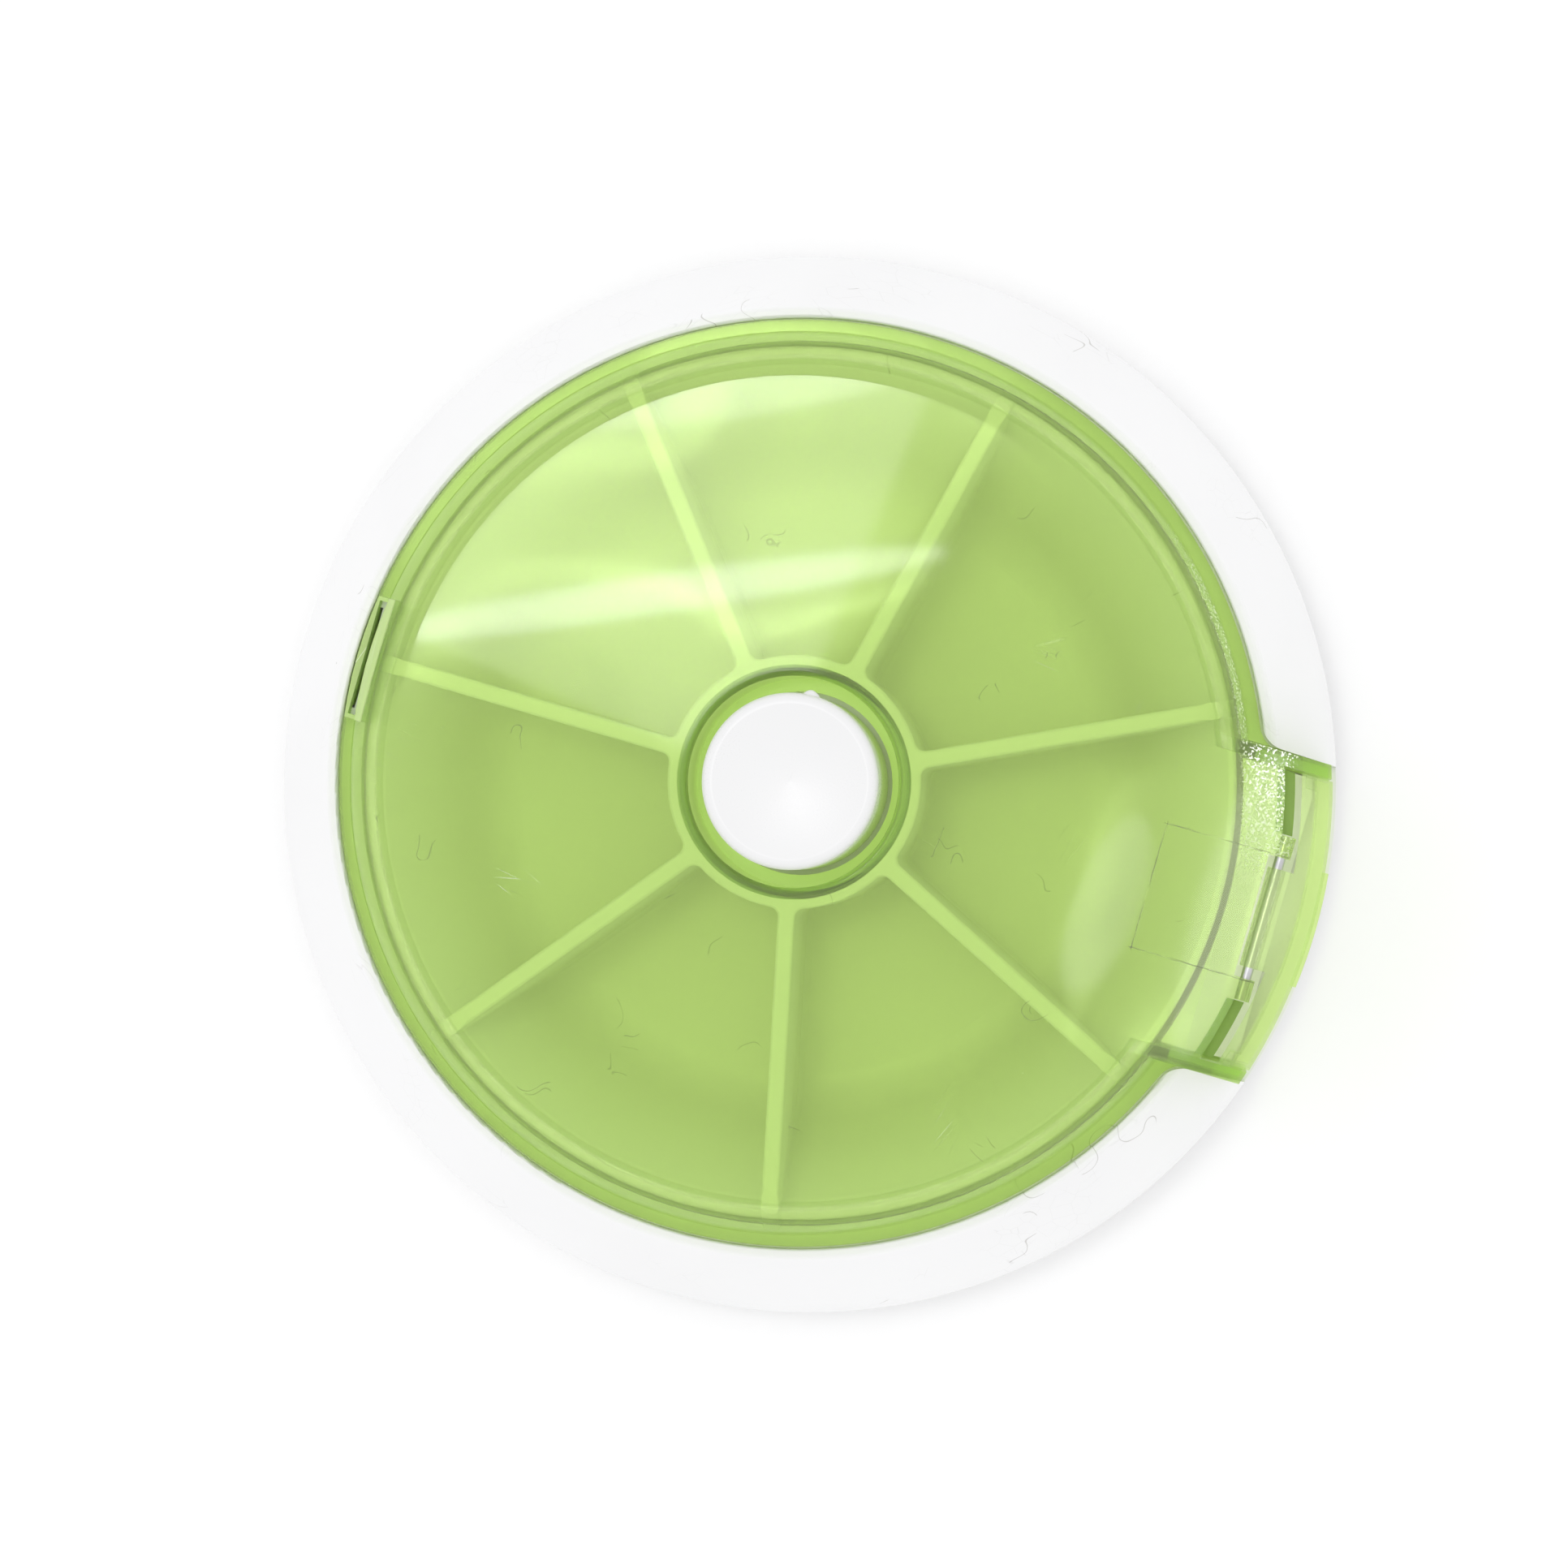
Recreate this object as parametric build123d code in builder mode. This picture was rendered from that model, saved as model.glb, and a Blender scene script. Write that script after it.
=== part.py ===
from build123d import *
import os
from math import atan2, cos, degrees, hypot, pi, radians, sin, sqrt, tan

os.makedirs("parts", exist_ok=True)

# Push-button pill organizer, in millimetres.
# +Z is up, the origin is the centre of the underside, and the pill spout faces -Y.

# Week wheel and its drive
compartments = 7
step_angle = 360 / compartments
button_stroke = 4.0
twist_per_mm = step_angle / button_stroke
quarter_turn = 90.0

# Clearances
running_gap = 0.08  # shaft in its bearing, on the radius
seat_gap = 0.05  # between faces that rest on each other
slip_gap = 0.1  # sleeve on sleeve
pass_gap = 0.2  # parts that pass each other
clear_gap = 0.3  # parts that only stay clear of each other

# Case, radii
case_r = 45.0
case_wall = 1.8
band_run = 5.1
ring_top_width = 0.9
cover_gap = 0.2
cover_lip = 1.0
cover_edge_wall = 0.9
tray_gap = 0.3
recess_r = case_r - band_run - ring_top_width
cover_r = recess_r - cover_gap
cover_edge_r = cover_r - cover_lip
cover_inner_r = cover_edge_r - cover_edge_wall
tray_rim_r = cover_inner_r - tray_gap
ledge_setback = 0.25
ledge_r = cover_inner_r + ledge_setback

# Case, heights
foot_proud = 0.6
floor_t = 1.6
pan_wall_h = 5.4
side_h = 3.2
band_rise = 6.7
cover_seat_depth = 1.0
ledge_t = 1.3
floor_bottom = foot_proud
floor_top = floor_bottom + floor_t
parting_z = floor_bottom + pan_wall_h
brow_z = parting_z + side_h
ring_top_z = brow_z + band_rise
ledge_z = ring_top_z - cover_seat_depth
pan_edge_round = 1.2
brow_round = 3.5
ring_top_round = 0.6
ring_inner_round = 0.25

# Pan's locating lip
lip_t = 0.85
lip_proud = 1.0
lip_gap = 0.15
lip_root = 2.0

# Screws and feet
screw_count = 4
screw_setback = 5.6
screw_start_angle = 45.0
screw_shank_r = 0.95
screw_head_r = 1.75
screw_head_h = 1.2
screw_length = 8.0
screw_slot = 0.5
slot_span = 1.3  # slot's length in radii of the head
boss_r = 2.2
pillar_h = 2.4
foot_r = 3.8
foot_t = 1.2
foot_round = 0.3
pocket_gap = 0.05
foot_pocket_top = foot_t
screw_circle_r = case_r - screw_setback
screw_seat_z = foot_pocket_top + screw_head_h
pillar_top = floor_top + pillar_h

# Centre post
post_r = 3.0
post_bore_r = 1.95
post_bore_floor = 0.8
post_foot_r = 4.3
post_foot_h = 2.3
key_count = 3
key_width = 1.0
key_proud = 0.5
clip_r = 3.8
clip_t = 0.58
clip_groove_depth = 0.45
clip_opening = 60.0
post_tip = 0.65

# Plunger
plunger_wall = 0.7
plunger_collar_h = 2.0
rib_count = 4
rib_width = 1.2
rib_proud = 0.65
rib_h = 4.4
plunger_inner_r = clip_r + pass_gap
plunger_r = plunger_inner_r + plunger_wall
rib_r = plunger_r + rib_proud
plunger_down_z = floor_top + post_foot_h + slip_gap
plunger_z = plunger_down_z + button_stroke
plunger_collar_top = plunger_z + plunger_collar_h
clip_z = plunger_collar_top + seat_gap
clip_groove_gap = 0.02
post_top = clip_z + clip_t + post_tip

# Rotor
rotor_wall = 0.55
rotor_flange_t = 0.8
rotor_key_proud = 0.35
rotor_key_width = 1.2
rotor_bore_r = plunger_r + slip_gap
groove_r = rib_r + slip_gap
groove_side_gap = 0.15
groove_width = rib_width + 2 * groove_side_gap
rotor_r = groove_r + rotor_wall
rotor_key_r = rotor_r + rotor_key_proud
washer_t = 0.25
rotor_z = floor_top + washer_t + seat_gap
rotor_top = plunger_z + rib_h + pass_gap

# Button
button_wall = 1.05
skirt_gap = 0.25
button_proud = 2.8
button_top_t = 1.5
button_flange_proud = 1.0
button_flange_t = 1.0
button_rim_width = 0.9
button_rim_round = 0.8
button_dish = 0.65
button_inner_r = rotor_r + skirt_gap
button_r = button_inner_r + button_wall
button_flange_r = button_r + button_flange_proud
socket_wall = 0.88
socket_depth = 2.7
spigot_r = 1.1
spigot_h = 2.0

# Well in the cover, round the button
button_gap = 0.45
well_ledge = 1.05
well_wall = 0.7
well_depth = 8.5
well_floor_t = 1.0
well_rim_round = 0.4
well_hole_r = button_r + button_gap
well_r = well_hole_r + well_ledge
sleeve_r = well_r + well_wall

# Tray
hub_gap = 0.25
hub_wall = 0.8
tray_floor_t = 1.2
compartment_depth = 13.5
rim_drop = 3.9
rim_width = 0.6
rim_lip = 0.7
rim_inner_round = 0.2
rim_outer_round = 0.3
ramp_run = 8.95
ramp_bend_r = 5.0
divider_t = 1.4
divider_tip_round = 2.2
divider_root_round = 0.8
divider_edge_round = 0.25
track_setback = 3.25
track_width = 1.4
track_h = 2.55
glide_t = 0.4
glide_lip_t = 0.6
glide_lip_h = 0.2
hub_bore_r = sleeve_r + hub_gap
hub_r = hub_bore_r + hub_wall
hub_lift = 0.4
hub_bottom = floor_top + hub_lift
divider_end_r = tray_rim_r - rim_width
track_z = floor_top + track_h
tray_bottom = track_z + glide_t + seat_gap
tray_floor = tray_bottom + tray_floor_t
divider_top = tray_floor + compartment_depth
rim_top = divider_top - rim_drop
ramp_foot_r = tray_rim_r - rim_lip - ramp_run
track_r = ramp_foot_r - track_setback
ramp_angle = degrees(atan2(rim_top - tray_floor, ramp_run))

# Collar that the hub turns on, keeper and ratchet
collar_wall = 1.07
keeper_t = 1.25
pawl_t = 1.4
pawl_teeth = 3  # teeth that an arm spans
pawl_bow = 1.6  # teeth from the arm's middle to its end
pawl_end_walls = 1.3
pawl_tip_walls = 1.6
ratchet_t = 2.0
ratchet_teeth = 2 * compartments
ratchet_root = 0.6
collar_r = hub_bore_r - running_gap
collar_bore_r = collar_r - collar_wall
rotor_flange_r = collar_bore_r - clear_gap
keeper_z = rotor_z + rotor_flange_t + seat_gap
collar_top = keeper_z + keeper_t + pass_gap
pawl_z = collar_top + pass_gap
ratchet_z = collar_top + slip_gap
ratchet_tip_r = button_flange_r + clear_gap
ratchet_root_r = hub_bore_r - ratchet_root

# Cover
cover_wall = 1.1
cover_headroom = 0.6
shoulder_run = 4.2
cover_foot_h = 1.25
cover_under = divider_top + cover_headroom
cover_top = cover_under + cover_wall
foot_bottom = ledge_z + seat_gap
foot_top = foot_bottom + cover_foot_h
dome_r = cover_edge_r - shoulder_run
dome_inset = 0.2
inner_dome_r = dome_r - dome_inset
inner_dome_z = foot_top - dome_inset
well_floor = cover_top - well_depth
sleeve_bottom = well_floor - well_floor_t
button_top = cover_top + button_proud
button_flange_top = sleeve_bottom - clear_gap
button_ceiling = button_top - button_top_t
plunger_top = button_ceiling - seat_gap

# Spout
mouth_half = 12.5
cheek_t = 1.1
cheek_gap = 0.25
spout_setback = 0.7
roof_setback = 4.5
door_setback = 0.6
corner_round = 2.5
gap_end_wall = 1.2
chute_wall = 1.3
chute_front_setback = 3.4
chute_drop = 6.6
spout_half = mouth_half + cheek_t
gap_half = spout_half + cheek_gap
spout_r = case_r - spout_setback
roof_r = case_r - roof_setback
door_r = case_r - door_setback
chute_front = case_r - chute_front_setback
chute_top = ring_top_z - clear_gap
chute_low = chute_top - chute_drop

# Spout door
door_wall = 1.2
door_gap = 0.2
flange_depth = 2.5
flange_t = 1.1
door_top_drop = 0.5
door_sill_gap = 0.4
door_corner_round = 1.0
door_edge_round = 0.5
pin_r = 0.45
knuckle_r = 0.8
lug_half = 4.2
roof_notch_half = 5.18
pin_boss_w = 1.8
finger_lip_half = 5.0
finger_lip_h = 1.0
gusset_t = 1.0
gusset_h = 5.0
gusset_depth = 0.9
door_half = mouth_half - door_gap
door_bottom = parting_z + door_sill_gap
door_top = cover_top - door_top_drop
flange_r = door_r - flange_depth
hinge_setback = 0.2
hinge_y = -(roof_r - hinge_setback)
hinge_z = cover_top - knuckle_r
roof_notch_y = hinge_y + knuckle_r + pass_gap

# Rear catch of the cover
slot_half = 4.95
slot_t = 0.75
slot_shift = 0.05
slot_y = cover_edge_r + slot_shift
tongue_half = 4.2
tongue_drop = 2.5
barb_depth = 0.5
barb_h = 0.8

# Detent leaf and its notches
leaf_t = 0.3
leaf_width = 3.0
leaf_setback = 4.7
leaf_half = 8.0
leaf_foot = 3.0
leaf_nose_half = 1.3
leaf_bend_r = 1.0
leaf_nose_r = 0.4
leaf_block_h = 1.0
leaf_block = 3.0
detent_ring_width = 3.2
detent_ring_h = 0.65
notch_depth = 0.45
notch_half = 1.25
detent_screw_r = 0.48
detent_head_r = 1.0
detent_head_h = 0.6
detent_screw_length = 1.9
leaf_r = track_r - leaf_setback

# Stiffening ribs under the tray
rib_under_count = 4
rib_under_angle = 45.0
rib_under_t = 1.0
rib_under_h = 1.2

# Return spring
spring_wire_r = 0.25
spring_r = 1.55
spring_turns = 14


def polar(radius, angle):
    return (radius * cos(radians(angle)), radius * sin(radians(angle)))


# Slope of the case's band, and the inner corner that keeps its wall even
band_angle = degrees(atan2(band_run, band_rise))
inner_corner_z = brow_z - case_wall * tan(radians(band_angle / 2))
ledge_under = ledge_z - ledge_t
inner_ledge_r = case_r - case_wall - (ledge_under - inner_corner_z) * band_run / band_rise

# Lower shell: dish, centre post, collar, tray track, chute, pillars
with BuildPart() as base_pan:
    with BuildSketch(Plane.XZ):
        with BuildLine():
            FilletPolyline(
                (0, floor_bottom),
                (case_r, floor_bottom),
                (case_r, parting_z),
                (case_r - case_wall, parting_z),
                (case_r - case_wall, floor_top),
                (0, floor_top),
                radius=[0, pan_edge_round, 0, 0, 0, 0],
                close=True,
            )
        make_face()
    revolve(axis=Axis.Z)
    # Chute under the spout, hollow from below, with its inner edge round the tray
    with BuildSketch(Plane.YZ):
        with BuildLine():
            Polyline(
                (-case_r + case_wall, floor_bottom),
                (-case_r + case_wall, parting_z),
                (-chute_front, parting_z),
                (-chute_front, chute_low),
                (-ledge_r, chute_top),
                (-mouth_half, chute_top),
                (-mouth_half, floor_bottom),
                close=True,
            )
        make_face()
    extrude(amount=door_half, both=True)
    with BuildSketch(Plane.XY.offset(floor_top)):
        Circle(ledge_r)
    extrude(amount=ring_top_z, mode=Mode.SUBTRACT)
    with BuildSketch(Plane.XY.offset(parting_z)):
        Circle(case_r)
        Circle(door_r - door_wall - cheek_gap, mode=Mode.SUBTRACT)
    extrude(amount=ring_top_z, mode=Mode.SUBTRACT)
    chute_slope = atan2(chute_drop, chute_front - ledge_r)
    core_back = ledge_r + chute_wall
    core_front = chute_front - chute_wall
    core_drop = chute_wall / cos(chute_slope)
    core_low = chute_low + chute_wall * tan(chute_slope) - core_drop
    core_high = chute_low + (chute_front - core_back) * tan(chute_slope) - core_drop
    with BuildSketch(Plane.YZ):
        with BuildLine():
            Polyline(
                (-core_front, 0),
                (-core_front, core_low),
                (-core_back, core_high),
                (-core_back, 0),
                close=True,
            )
        make_face()
    extrude(amount=door_half - chute_wall, both=True, mode=Mode.SUBTRACT)
    # Lip that centres the upper ring, cut away at the spout
    lip_r = case_r - case_wall - lip_gap
    with BuildSketch(Plane.XZ):
        with BuildLine():
            Polyline(
                (lip_r - lip_t, parting_z - lip_root + lip_t),
                (lip_r + lip_gap, parting_z - lip_root),
                (lip_r + 2 * lip_gap, parting_z),
                (lip_r, parting_z),
                (lip_r, parting_z + lip_proud),
                (lip_r - lip_t, parting_z + lip_proud),
                close=True,
            )
        make_face()
    revolve(axis=Axis.Z)
    with BuildSketch(Plane.XY.offset(parting_z)):
        Rectangle(2 * (gap_half + gap_end_wall + pass_gap), case_r, align=(Align.CENTER, Align.MAX))
        Circle(chute_front, mode=Mode.SUBTRACT)
    extrude(amount=lip_proud, mode=Mode.SUBTRACT)
    # Screw pillars
    with BuildSketch(Plane.XY.offset(floor_top)):
        with PolarLocations(screw_circle_r, screw_count, start_angle=screw_start_angle):
            Circle(boss_r)
    extrude(amount=pillar_h)
    # Collar and tray track, joined by ribs
    with BuildSketch(Plane.XY.offset(floor_top)):
        Circle(collar_r)
        Circle(collar_bore_r, mode=Mode.SUBTRACT)
    extrude(amount=collar_top - floor_top)
    with BuildSketch(Plane.XY.offset(floor_top)):
        Circle(track_r + track_width / 2 + glide_lip_t)
        Circle(track_r - track_width / 2, mode=Mode.SUBTRACT)
    extrude(amount=track_h + glide_lip_h)
    with BuildSketch(Plane.XY.offset(track_z)):
        Circle(track_r + track_width / 2)
    extrude(amount=glide_lip_h, mode=Mode.SUBTRACT)
    with BuildSketch(Plane.XY.offset(floor_top)):
        with PolarLocations((track_r + hub_r) / 2, rib_under_count, start_angle=rib_under_angle):
            Rectangle(track_r - hub_r - 2 * rib_under_t, rib_under_t)
    extrude(amount=rib_under_h)
    # Blocks that carry the detent leaf's two feet
    with BuildSketch(Plane.XY.offset(floor_top)):
        with Locations((leaf_half - leaf_block / 2, leaf_r), (-leaf_half + leaf_block / 2, leaf_r)):
            Rectangle(leaf_block, leaf_width)
    extrude(amount=leaf_block_h)
    # Centre post with its keys, spring bore and clip groove
    with BuildSketch(Plane.XY.offset(floor_top)):
        Circle(post_foot_r)
    extrude(amount=post_foot_h)
    with BuildSketch(Plane.XY.offset(floor_top)):
        Circle(post_r)
    extrude(amount=post_top - floor_top)
    with BuildSketch(Plane.XY.offset(floor_top + post_foot_h)):
        with PolarLocations(post_r - key_proud, key_count):
            Rectangle(2 * key_proud, key_width, align=(Align.MIN, Align.CENTER))
    extrude(amount=clip_z - pass_gap - floor_top - post_foot_h)
    with BuildSketch(Plane.XY.offset(floor_top + post_bore_floor)):
        Circle(post_bore_r)
    extrude(amount=post_top, mode=Mode.SUBTRACT)
    with BuildSketch(Plane.XY.offset(clip_z - clip_groove_gap)):
        Circle(post_r + key_proud)
        Circle(post_r - clip_groove_depth, mode=Mode.SUBTRACT)
    extrude(amount=clip_t + 2 * clip_groove_gap, mode=Mode.SUBTRACT)
    # Holes: screws and feet from below, detent screw from above
    with Locations(Plane.XY.offset(foot_pocket_top) * Rotation(180, 0, 0)):
        with PolarLocations(screw_circle_r, screw_count, start_angle=screw_start_angle):
            CounterBoreHole(
                radius=screw_shank_r + 2 * seat_gap,
                counter_bore_radius=screw_head_r + slip_gap,
                counter_bore_depth=screw_head_h,
                depth=pillar_top,
            )
    with BuildSketch(Plane.XY):
        with PolarLocations(screw_circle_r, screw_count, start_angle=screw_start_angle):
            Circle(foot_r + pocket_gap)
    extrude(amount=foot_pocket_top, mode=Mode.SUBTRACT)
    with BuildSketch(Plane.XY.offset(floor_top + leaf_block_h)):
        with Locations((-leaf_half + leaf_block / 2, leaf_r)):
            Circle(detent_screw_r + clip_groove_gap)
    extrude(amount=-detent_screw_length, mode=Mode.SUBTRACT)
base_pan.part.label = "base_pan"
export_step(base_pan.part, "parts/base_pan.step")

# Hollow inside the ring, kept clear of the walls that close its ends at the spout
with BuildPart() as ring_hollow:
    with BuildSketch(Plane.XZ):
        with BuildLine():
            Polyline(
                (ledge_r - tray_gap, floor_top),
                (case_r - case_wall, floor_top),
                (case_r - case_wall, inner_corner_z),
                (inner_ledge_r, ledge_under),
                (ledge_r - tray_gap, ledge_under),
                close=True,
            )
        make_face()
    revolve(axis=Axis.Z)
    with BuildSketch(Plane.XY):
        Rectangle(2 * (gap_half + gap_end_wall), case_r, align=(Align.CENTER, Align.MAX))
    extrude(amount=ring_top_z, mode=Mode.SUBTRACT)

# Upper shell: sloped band with the cover's seat, open at the spout
with BuildPart() as case_ring:
    with BuildSketch(Plane.XZ):
        with BuildLine():
            FilletPolyline(
                (case_r, parting_z),
                (case_r, brow_z),
                (case_r - band_run, ring_top_z),
                (recess_r, ring_top_z),
                (recess_r, ledge_z),
                (ledge_r, ledge_z),
                (ledge_r, parting_z),
                radius=[0, brow_round, ring_top_round, ring_inner_round, 0, 0, 0],
                close=True,
            )
        make_face()
    revolve(axis=Axis.Z)
    add(ring_hollow.part, mode=Mode.SUBTRACT)
    with BuildSketch(Plane.XY.offset(pillar_top)):
        with PolarLocations(screw_circle_r, screw_count, start_angle=screw_start_angle):
            Circle(boss_r)
    extrude(amount=ledge_under - pillar_top)
    with BuildSketch(Plane.XY.offset(pillar_top)):
        with PolarLocations(screw_circle_r, screw_count, start_angle=screw_start_angle):
            Circle(screw_shank_r + seat_gap)
    extrude(amount=screw_seat_z + screw_length + pass_gap - pillar_top, mode=Mode.SUBTRACT)
    # Opening for the spout, its corners rounded where the cover's foot turns
    with BuildSketch(Plane.XY.offset(parting_z)):
        Rectangle(2 * gap_half, 2 * case_r, align=(Align.CENTER, Align.MAX))
    extrude(amount=ring_top_z, mode=Mode.SUBTRACT)
    with BuildSketch(Plane.XY.offset(ledge_z)) as seat_outline:
        Circle(recess_r)
        Rectangle(2 * gap_half, case_r + case_wall, align=(Align.CENTER, Align.MAX))
        seat_corners = seat_outline.vertices().filter_by_position(Axis.Y, -recess_r, -dome_r)
        fillet(seat_corners, corner_round - cover_gap)
    extrude(amount=ring_top_z, mode=Mode.SUBTRACT)
    # Notch for the cover's rear tongue
    with BuildSketch(Plane.XY.offset(ledge_under)):
        with Locations((0, slot_y + slot_t / 2 - pass_gap)):
            Rectangle(2 * (tongue_half + pass_gap), case_wall, align=(Align.CENTER, Align.MIN))
        Circle(recess_r, mode=Mode.INTERSECT)
    extrude(amount=ledge_t, mode=Mode.SUBTRACT)
case_ring.part.label = "case_ring"
export_step(case_ring.part, "parts/case_ring.step")

# Screws that hold the ring to the pan
with BuildPart() as case_screws:
    with BuildSketch(Plane.XY.offset(foot_pocket_top + seat_gap)):
        with PolarLocations(screw_circle_r, screw_count, start_angle=screw_start_angle):
            Circle(screw_head_r)
    extrude(amount=screw_head_h - seat_gap)
    with BuildSketch(Plane.XY.offset(screw_seat_z)):
        with PolarLocations(screw_circle_r, screw_count, start_angle=screw_start_angle):
            Circle(screw_shank_r)
    extrude(amount=screw_length)
    screw_tips = case_screws.edges().group_by(Axis.Z)[-1]
    chamfer(screw_tips, screw_shank_r / 2)
    with BuildSketch(Plane.XY.offset(foot_pocket_top)):
        with PolarLocations(screw_circle_r, screw_count, start_angle=screw_start_angle):
            Rectangle(slot_span * screw_head_r, screw_slot)
            Rectangle(screw_slot, slot_span * screw_head_r)
    extrude(amount=screw_head_h / 2, mode=Mode.SUBTRACT)
case_screws.part.label = "case_screws"
export_step(case_screws.part, "parts/case_screws.step")

# Rubber feet, pressed into pockets over the screws
with BuildPart() as foot_pads:
    with BuildSketch(Plane.XY):
        with PolarLocations(screw_circle_r, screw_count, start_angle=screw_start_angle):
            Circle(foot_r)
    extrude(amount=foot_t)
    fillet(foot_pads.edges().group_by(Axis.Z)[0], foot_round)
foot_pads.part.label = "foot_pads"
export_step(foot_pads.part, "parts/foot_pads.step")

# Ring that the tray turns on
with BuildPart() as tray_glide_ring:
    with BuildSketch(Plane.XY.offset(track_z)):
        Circle(track_r + track_width / 2 - seat_gap)
        Circle(track_r - track_width / 2, mode=Mode.SUBTRACT)
    extrude(amount=glide_t)
tray_glide_ring.part.label = "tray_glide_ring"
export_step(tray_glide_ring.part, "parts/tray_glide_ring.step")

# Tray: hub and dividers, cut along the ramp and round their tips, then the floor that curves up to the rim
with BuildPart() as pill_tray:
    floor_middle = tray_floor - tray_floor_t / 2
    with BuildSketch(Plane.XY.offset(hub_bottom)):
        Circle(hub_r)
    extrude(amount=floor_middle - hub_bottom)
    with BuildSketch(Plane.XY.offset(floor_middle)) as wheel:
        Circle(hub_r)
        with PolarLocations(0, compartments, start_angle=step_angle / 2 - quarter_turn):
            SlotCenterPoint((divider_end_r / 2, 0), (divider_end_r - divider_t / 2, 0), divider_t)
        roots = wheel.vertices().filter_by(lambda v: abs(hypot(v.X, v.Y) - hub_r) < divider_t / 4)
        fillet(roots, divider_root_round)
    extrude(amount=divider_top - floor_middle)
    fillet(pill_tray.edges().group_by(Axis.Z)[-1], divider_edge_round)
    with BuildSketch(Plane.XZ):
        with BuildLine():
            Polyline(
                (ramp_foot_r, hub_bottom),
                (ramp_foot_r, floor_middle),
                (tray_rim_r, rim_top - rim_lip),
                (case_r, rim_top - rim_lip),
                (case_r, hub_bottom),
                close=True,
            )
        make_face()
        with BuildLine():
            RadiusArc(
                (divider_end_r - divider_tip_round, divider_top),
                (divider_end_r, divider_top - divider_tip_round),
                divider_tip_round,
            )
            Polyline(
                (divider_end_r, divider_top - divider_tip_round),
                (case_r, divider_top - divider_tip_round),
                (case_r, divider_top + divider_tip_round),
                (divider_end_r - divider_tip_round, divider_top + divider_tip_round),
                (divider_end_r - divider_tip_round, divider_top),
            )
        make_face()
    revolve(axis=Axis.Z, mode=Mode.SUBTRACT)
    with BuildSketch(Plane.XY.offset(hub_bottom)):
        Circle(hub_bore_r)
    extrude(amount=divider_top, mode=Mode.SUBTRACT)
    under_bend_r = ramp_foot_r + tray_floor_t * tan(radians(ramp_angle / 2))
    rim_under = tray_bottom + (tray_rim_r - under_bend_r) * tan(radians(ramp_angle))
    with BuildSketch(Plane.XZ):
        with BuildLine():
            FilletPolyline(
                (hub_bore_r, tray_floor),
                (ramp_foot_r, tray_floor),
                (tray_rim_r - rim_lip, rim_top),
                (tray_rim_r, rim_top),
                (tray_rim_r, rim_under),
                (under_bend_r, tray_bottom),
                (hub_bore_r, tray_bottom),
                radius=[0, ramp_bend_r, rim_inner_round, rim_outer_round, 0, ramp_bend_r + tray_floor_t, 0],
                close=True,
            )
        make_face()
    revolve(axis=Axis.Z)
    # Ring under the floor with one radial notch for each compartment
    with BuildSketch(Plane.XY.offset(tray_bottom)):
        Circle(leaf_r + detent_ring_width / 2)
        Circle(leaf_r - detent_ring_width / 2, mode=Mode.SUBTRACT)
    extrude(amount=-detent_ring_h)
    detent_under = tray_bottom - detent_ring_h
    for step in range(compartments):
        notch_plane = Plane.XZ.rotated((0, 0, step * step_angle)).offset(-leaf_r - detent_ring_width)
        with BuildSketch(notch_plane):
            with BuildLine():
                Polyline(
                    (-notch_half, detent_under - seat_gap),
                    (-notch_half, detent_under),
                    (-notch_half / 3, detent_under + notch_depth),
                    (notch_half / 3, detent_under + notch_depth),
                    (notch_half, detent_under),
                    (notch_half, detent_under - seat_gap),
                    close=True,
                )
            make_face()
        extrude(amount=2 * detent_ring_width, mode=Mode.SUBTRACT)
pill_tray.part.label = "pill_tray"
export_step(pill_tray.part, "parts/pill_tray.step")

# Saw-toothed ring pressed into the tray's hub
tooth_angle = 360 / ratchet_teeth
with BuildPart() as ratchet_ring:
    with BuildSketch(Plane.XY.offset(ratchet_z)):
        Circle(hub_bore_r - clip_groove_gap)
        with BuildLine():
            saw = []
            for tooth in range(ratchet_teeth):
                saw.append(polar(ratchet_root_r, tooth * tooth_angle))
                saw.append(polar(ratchet_tip_r, tooth * tooth_angle))
            Polyline(*saw, close=True)
        make_face(mode=Mode.SUBTRACT)
    extrude(amount=ratchet_t)
ratchet_ring.part.label = "ratchet_ring"
export_step(ratchet_ring.part, "parts/ratchet_ring.step")

# Leaf spring that clicks into the notches
leaf_z = floor_top + leaf_block_h + leaf_t / 2
nose_z = detent_under + notch_depth - slip_gap - leaf_t / 2
with BuildPart() as detent_spring:
    with BuildSketch(Plane.XZ.offset(-leaf_r - leaf_width / 2)):
        with BuildLine() as leaf_line:
            FilletPolyline(
                (-leaf_half, leaf_z),
                (-leaf_half + leaf_foot, leaf_z),
                (-leaf_nose_half, nose_z - notch_depth),
                (0, nose_z),
                (leaf_nose_half, nose_z - notch_depth),
                (leaf_half - leaf_foot, leaf_z),
                (leaf_half, leaf_z),
                radius=[leaf_bend_r, leaf_nose_r, leaf_nose_r, leaf_nose_r, leaf_bend_r],
            )
        trace(line_width=leaf_t)
    extrude(amount=leaf_width)
    with BuildSketch(Plane.XY.offset(floor_top + leaf_block_h)):
        with Locations((-leaf_half + leaf_block / 2, leaf_r)):
            Circle(detent_screw_r + slip_gap)
    extrude(amount=2 * leaf_t, mode=Mode.SUBTRACT)
detent_spring.part.label = "detent_spring"
export_step(detent_spring.part, "parts/detent_spring.step")

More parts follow.
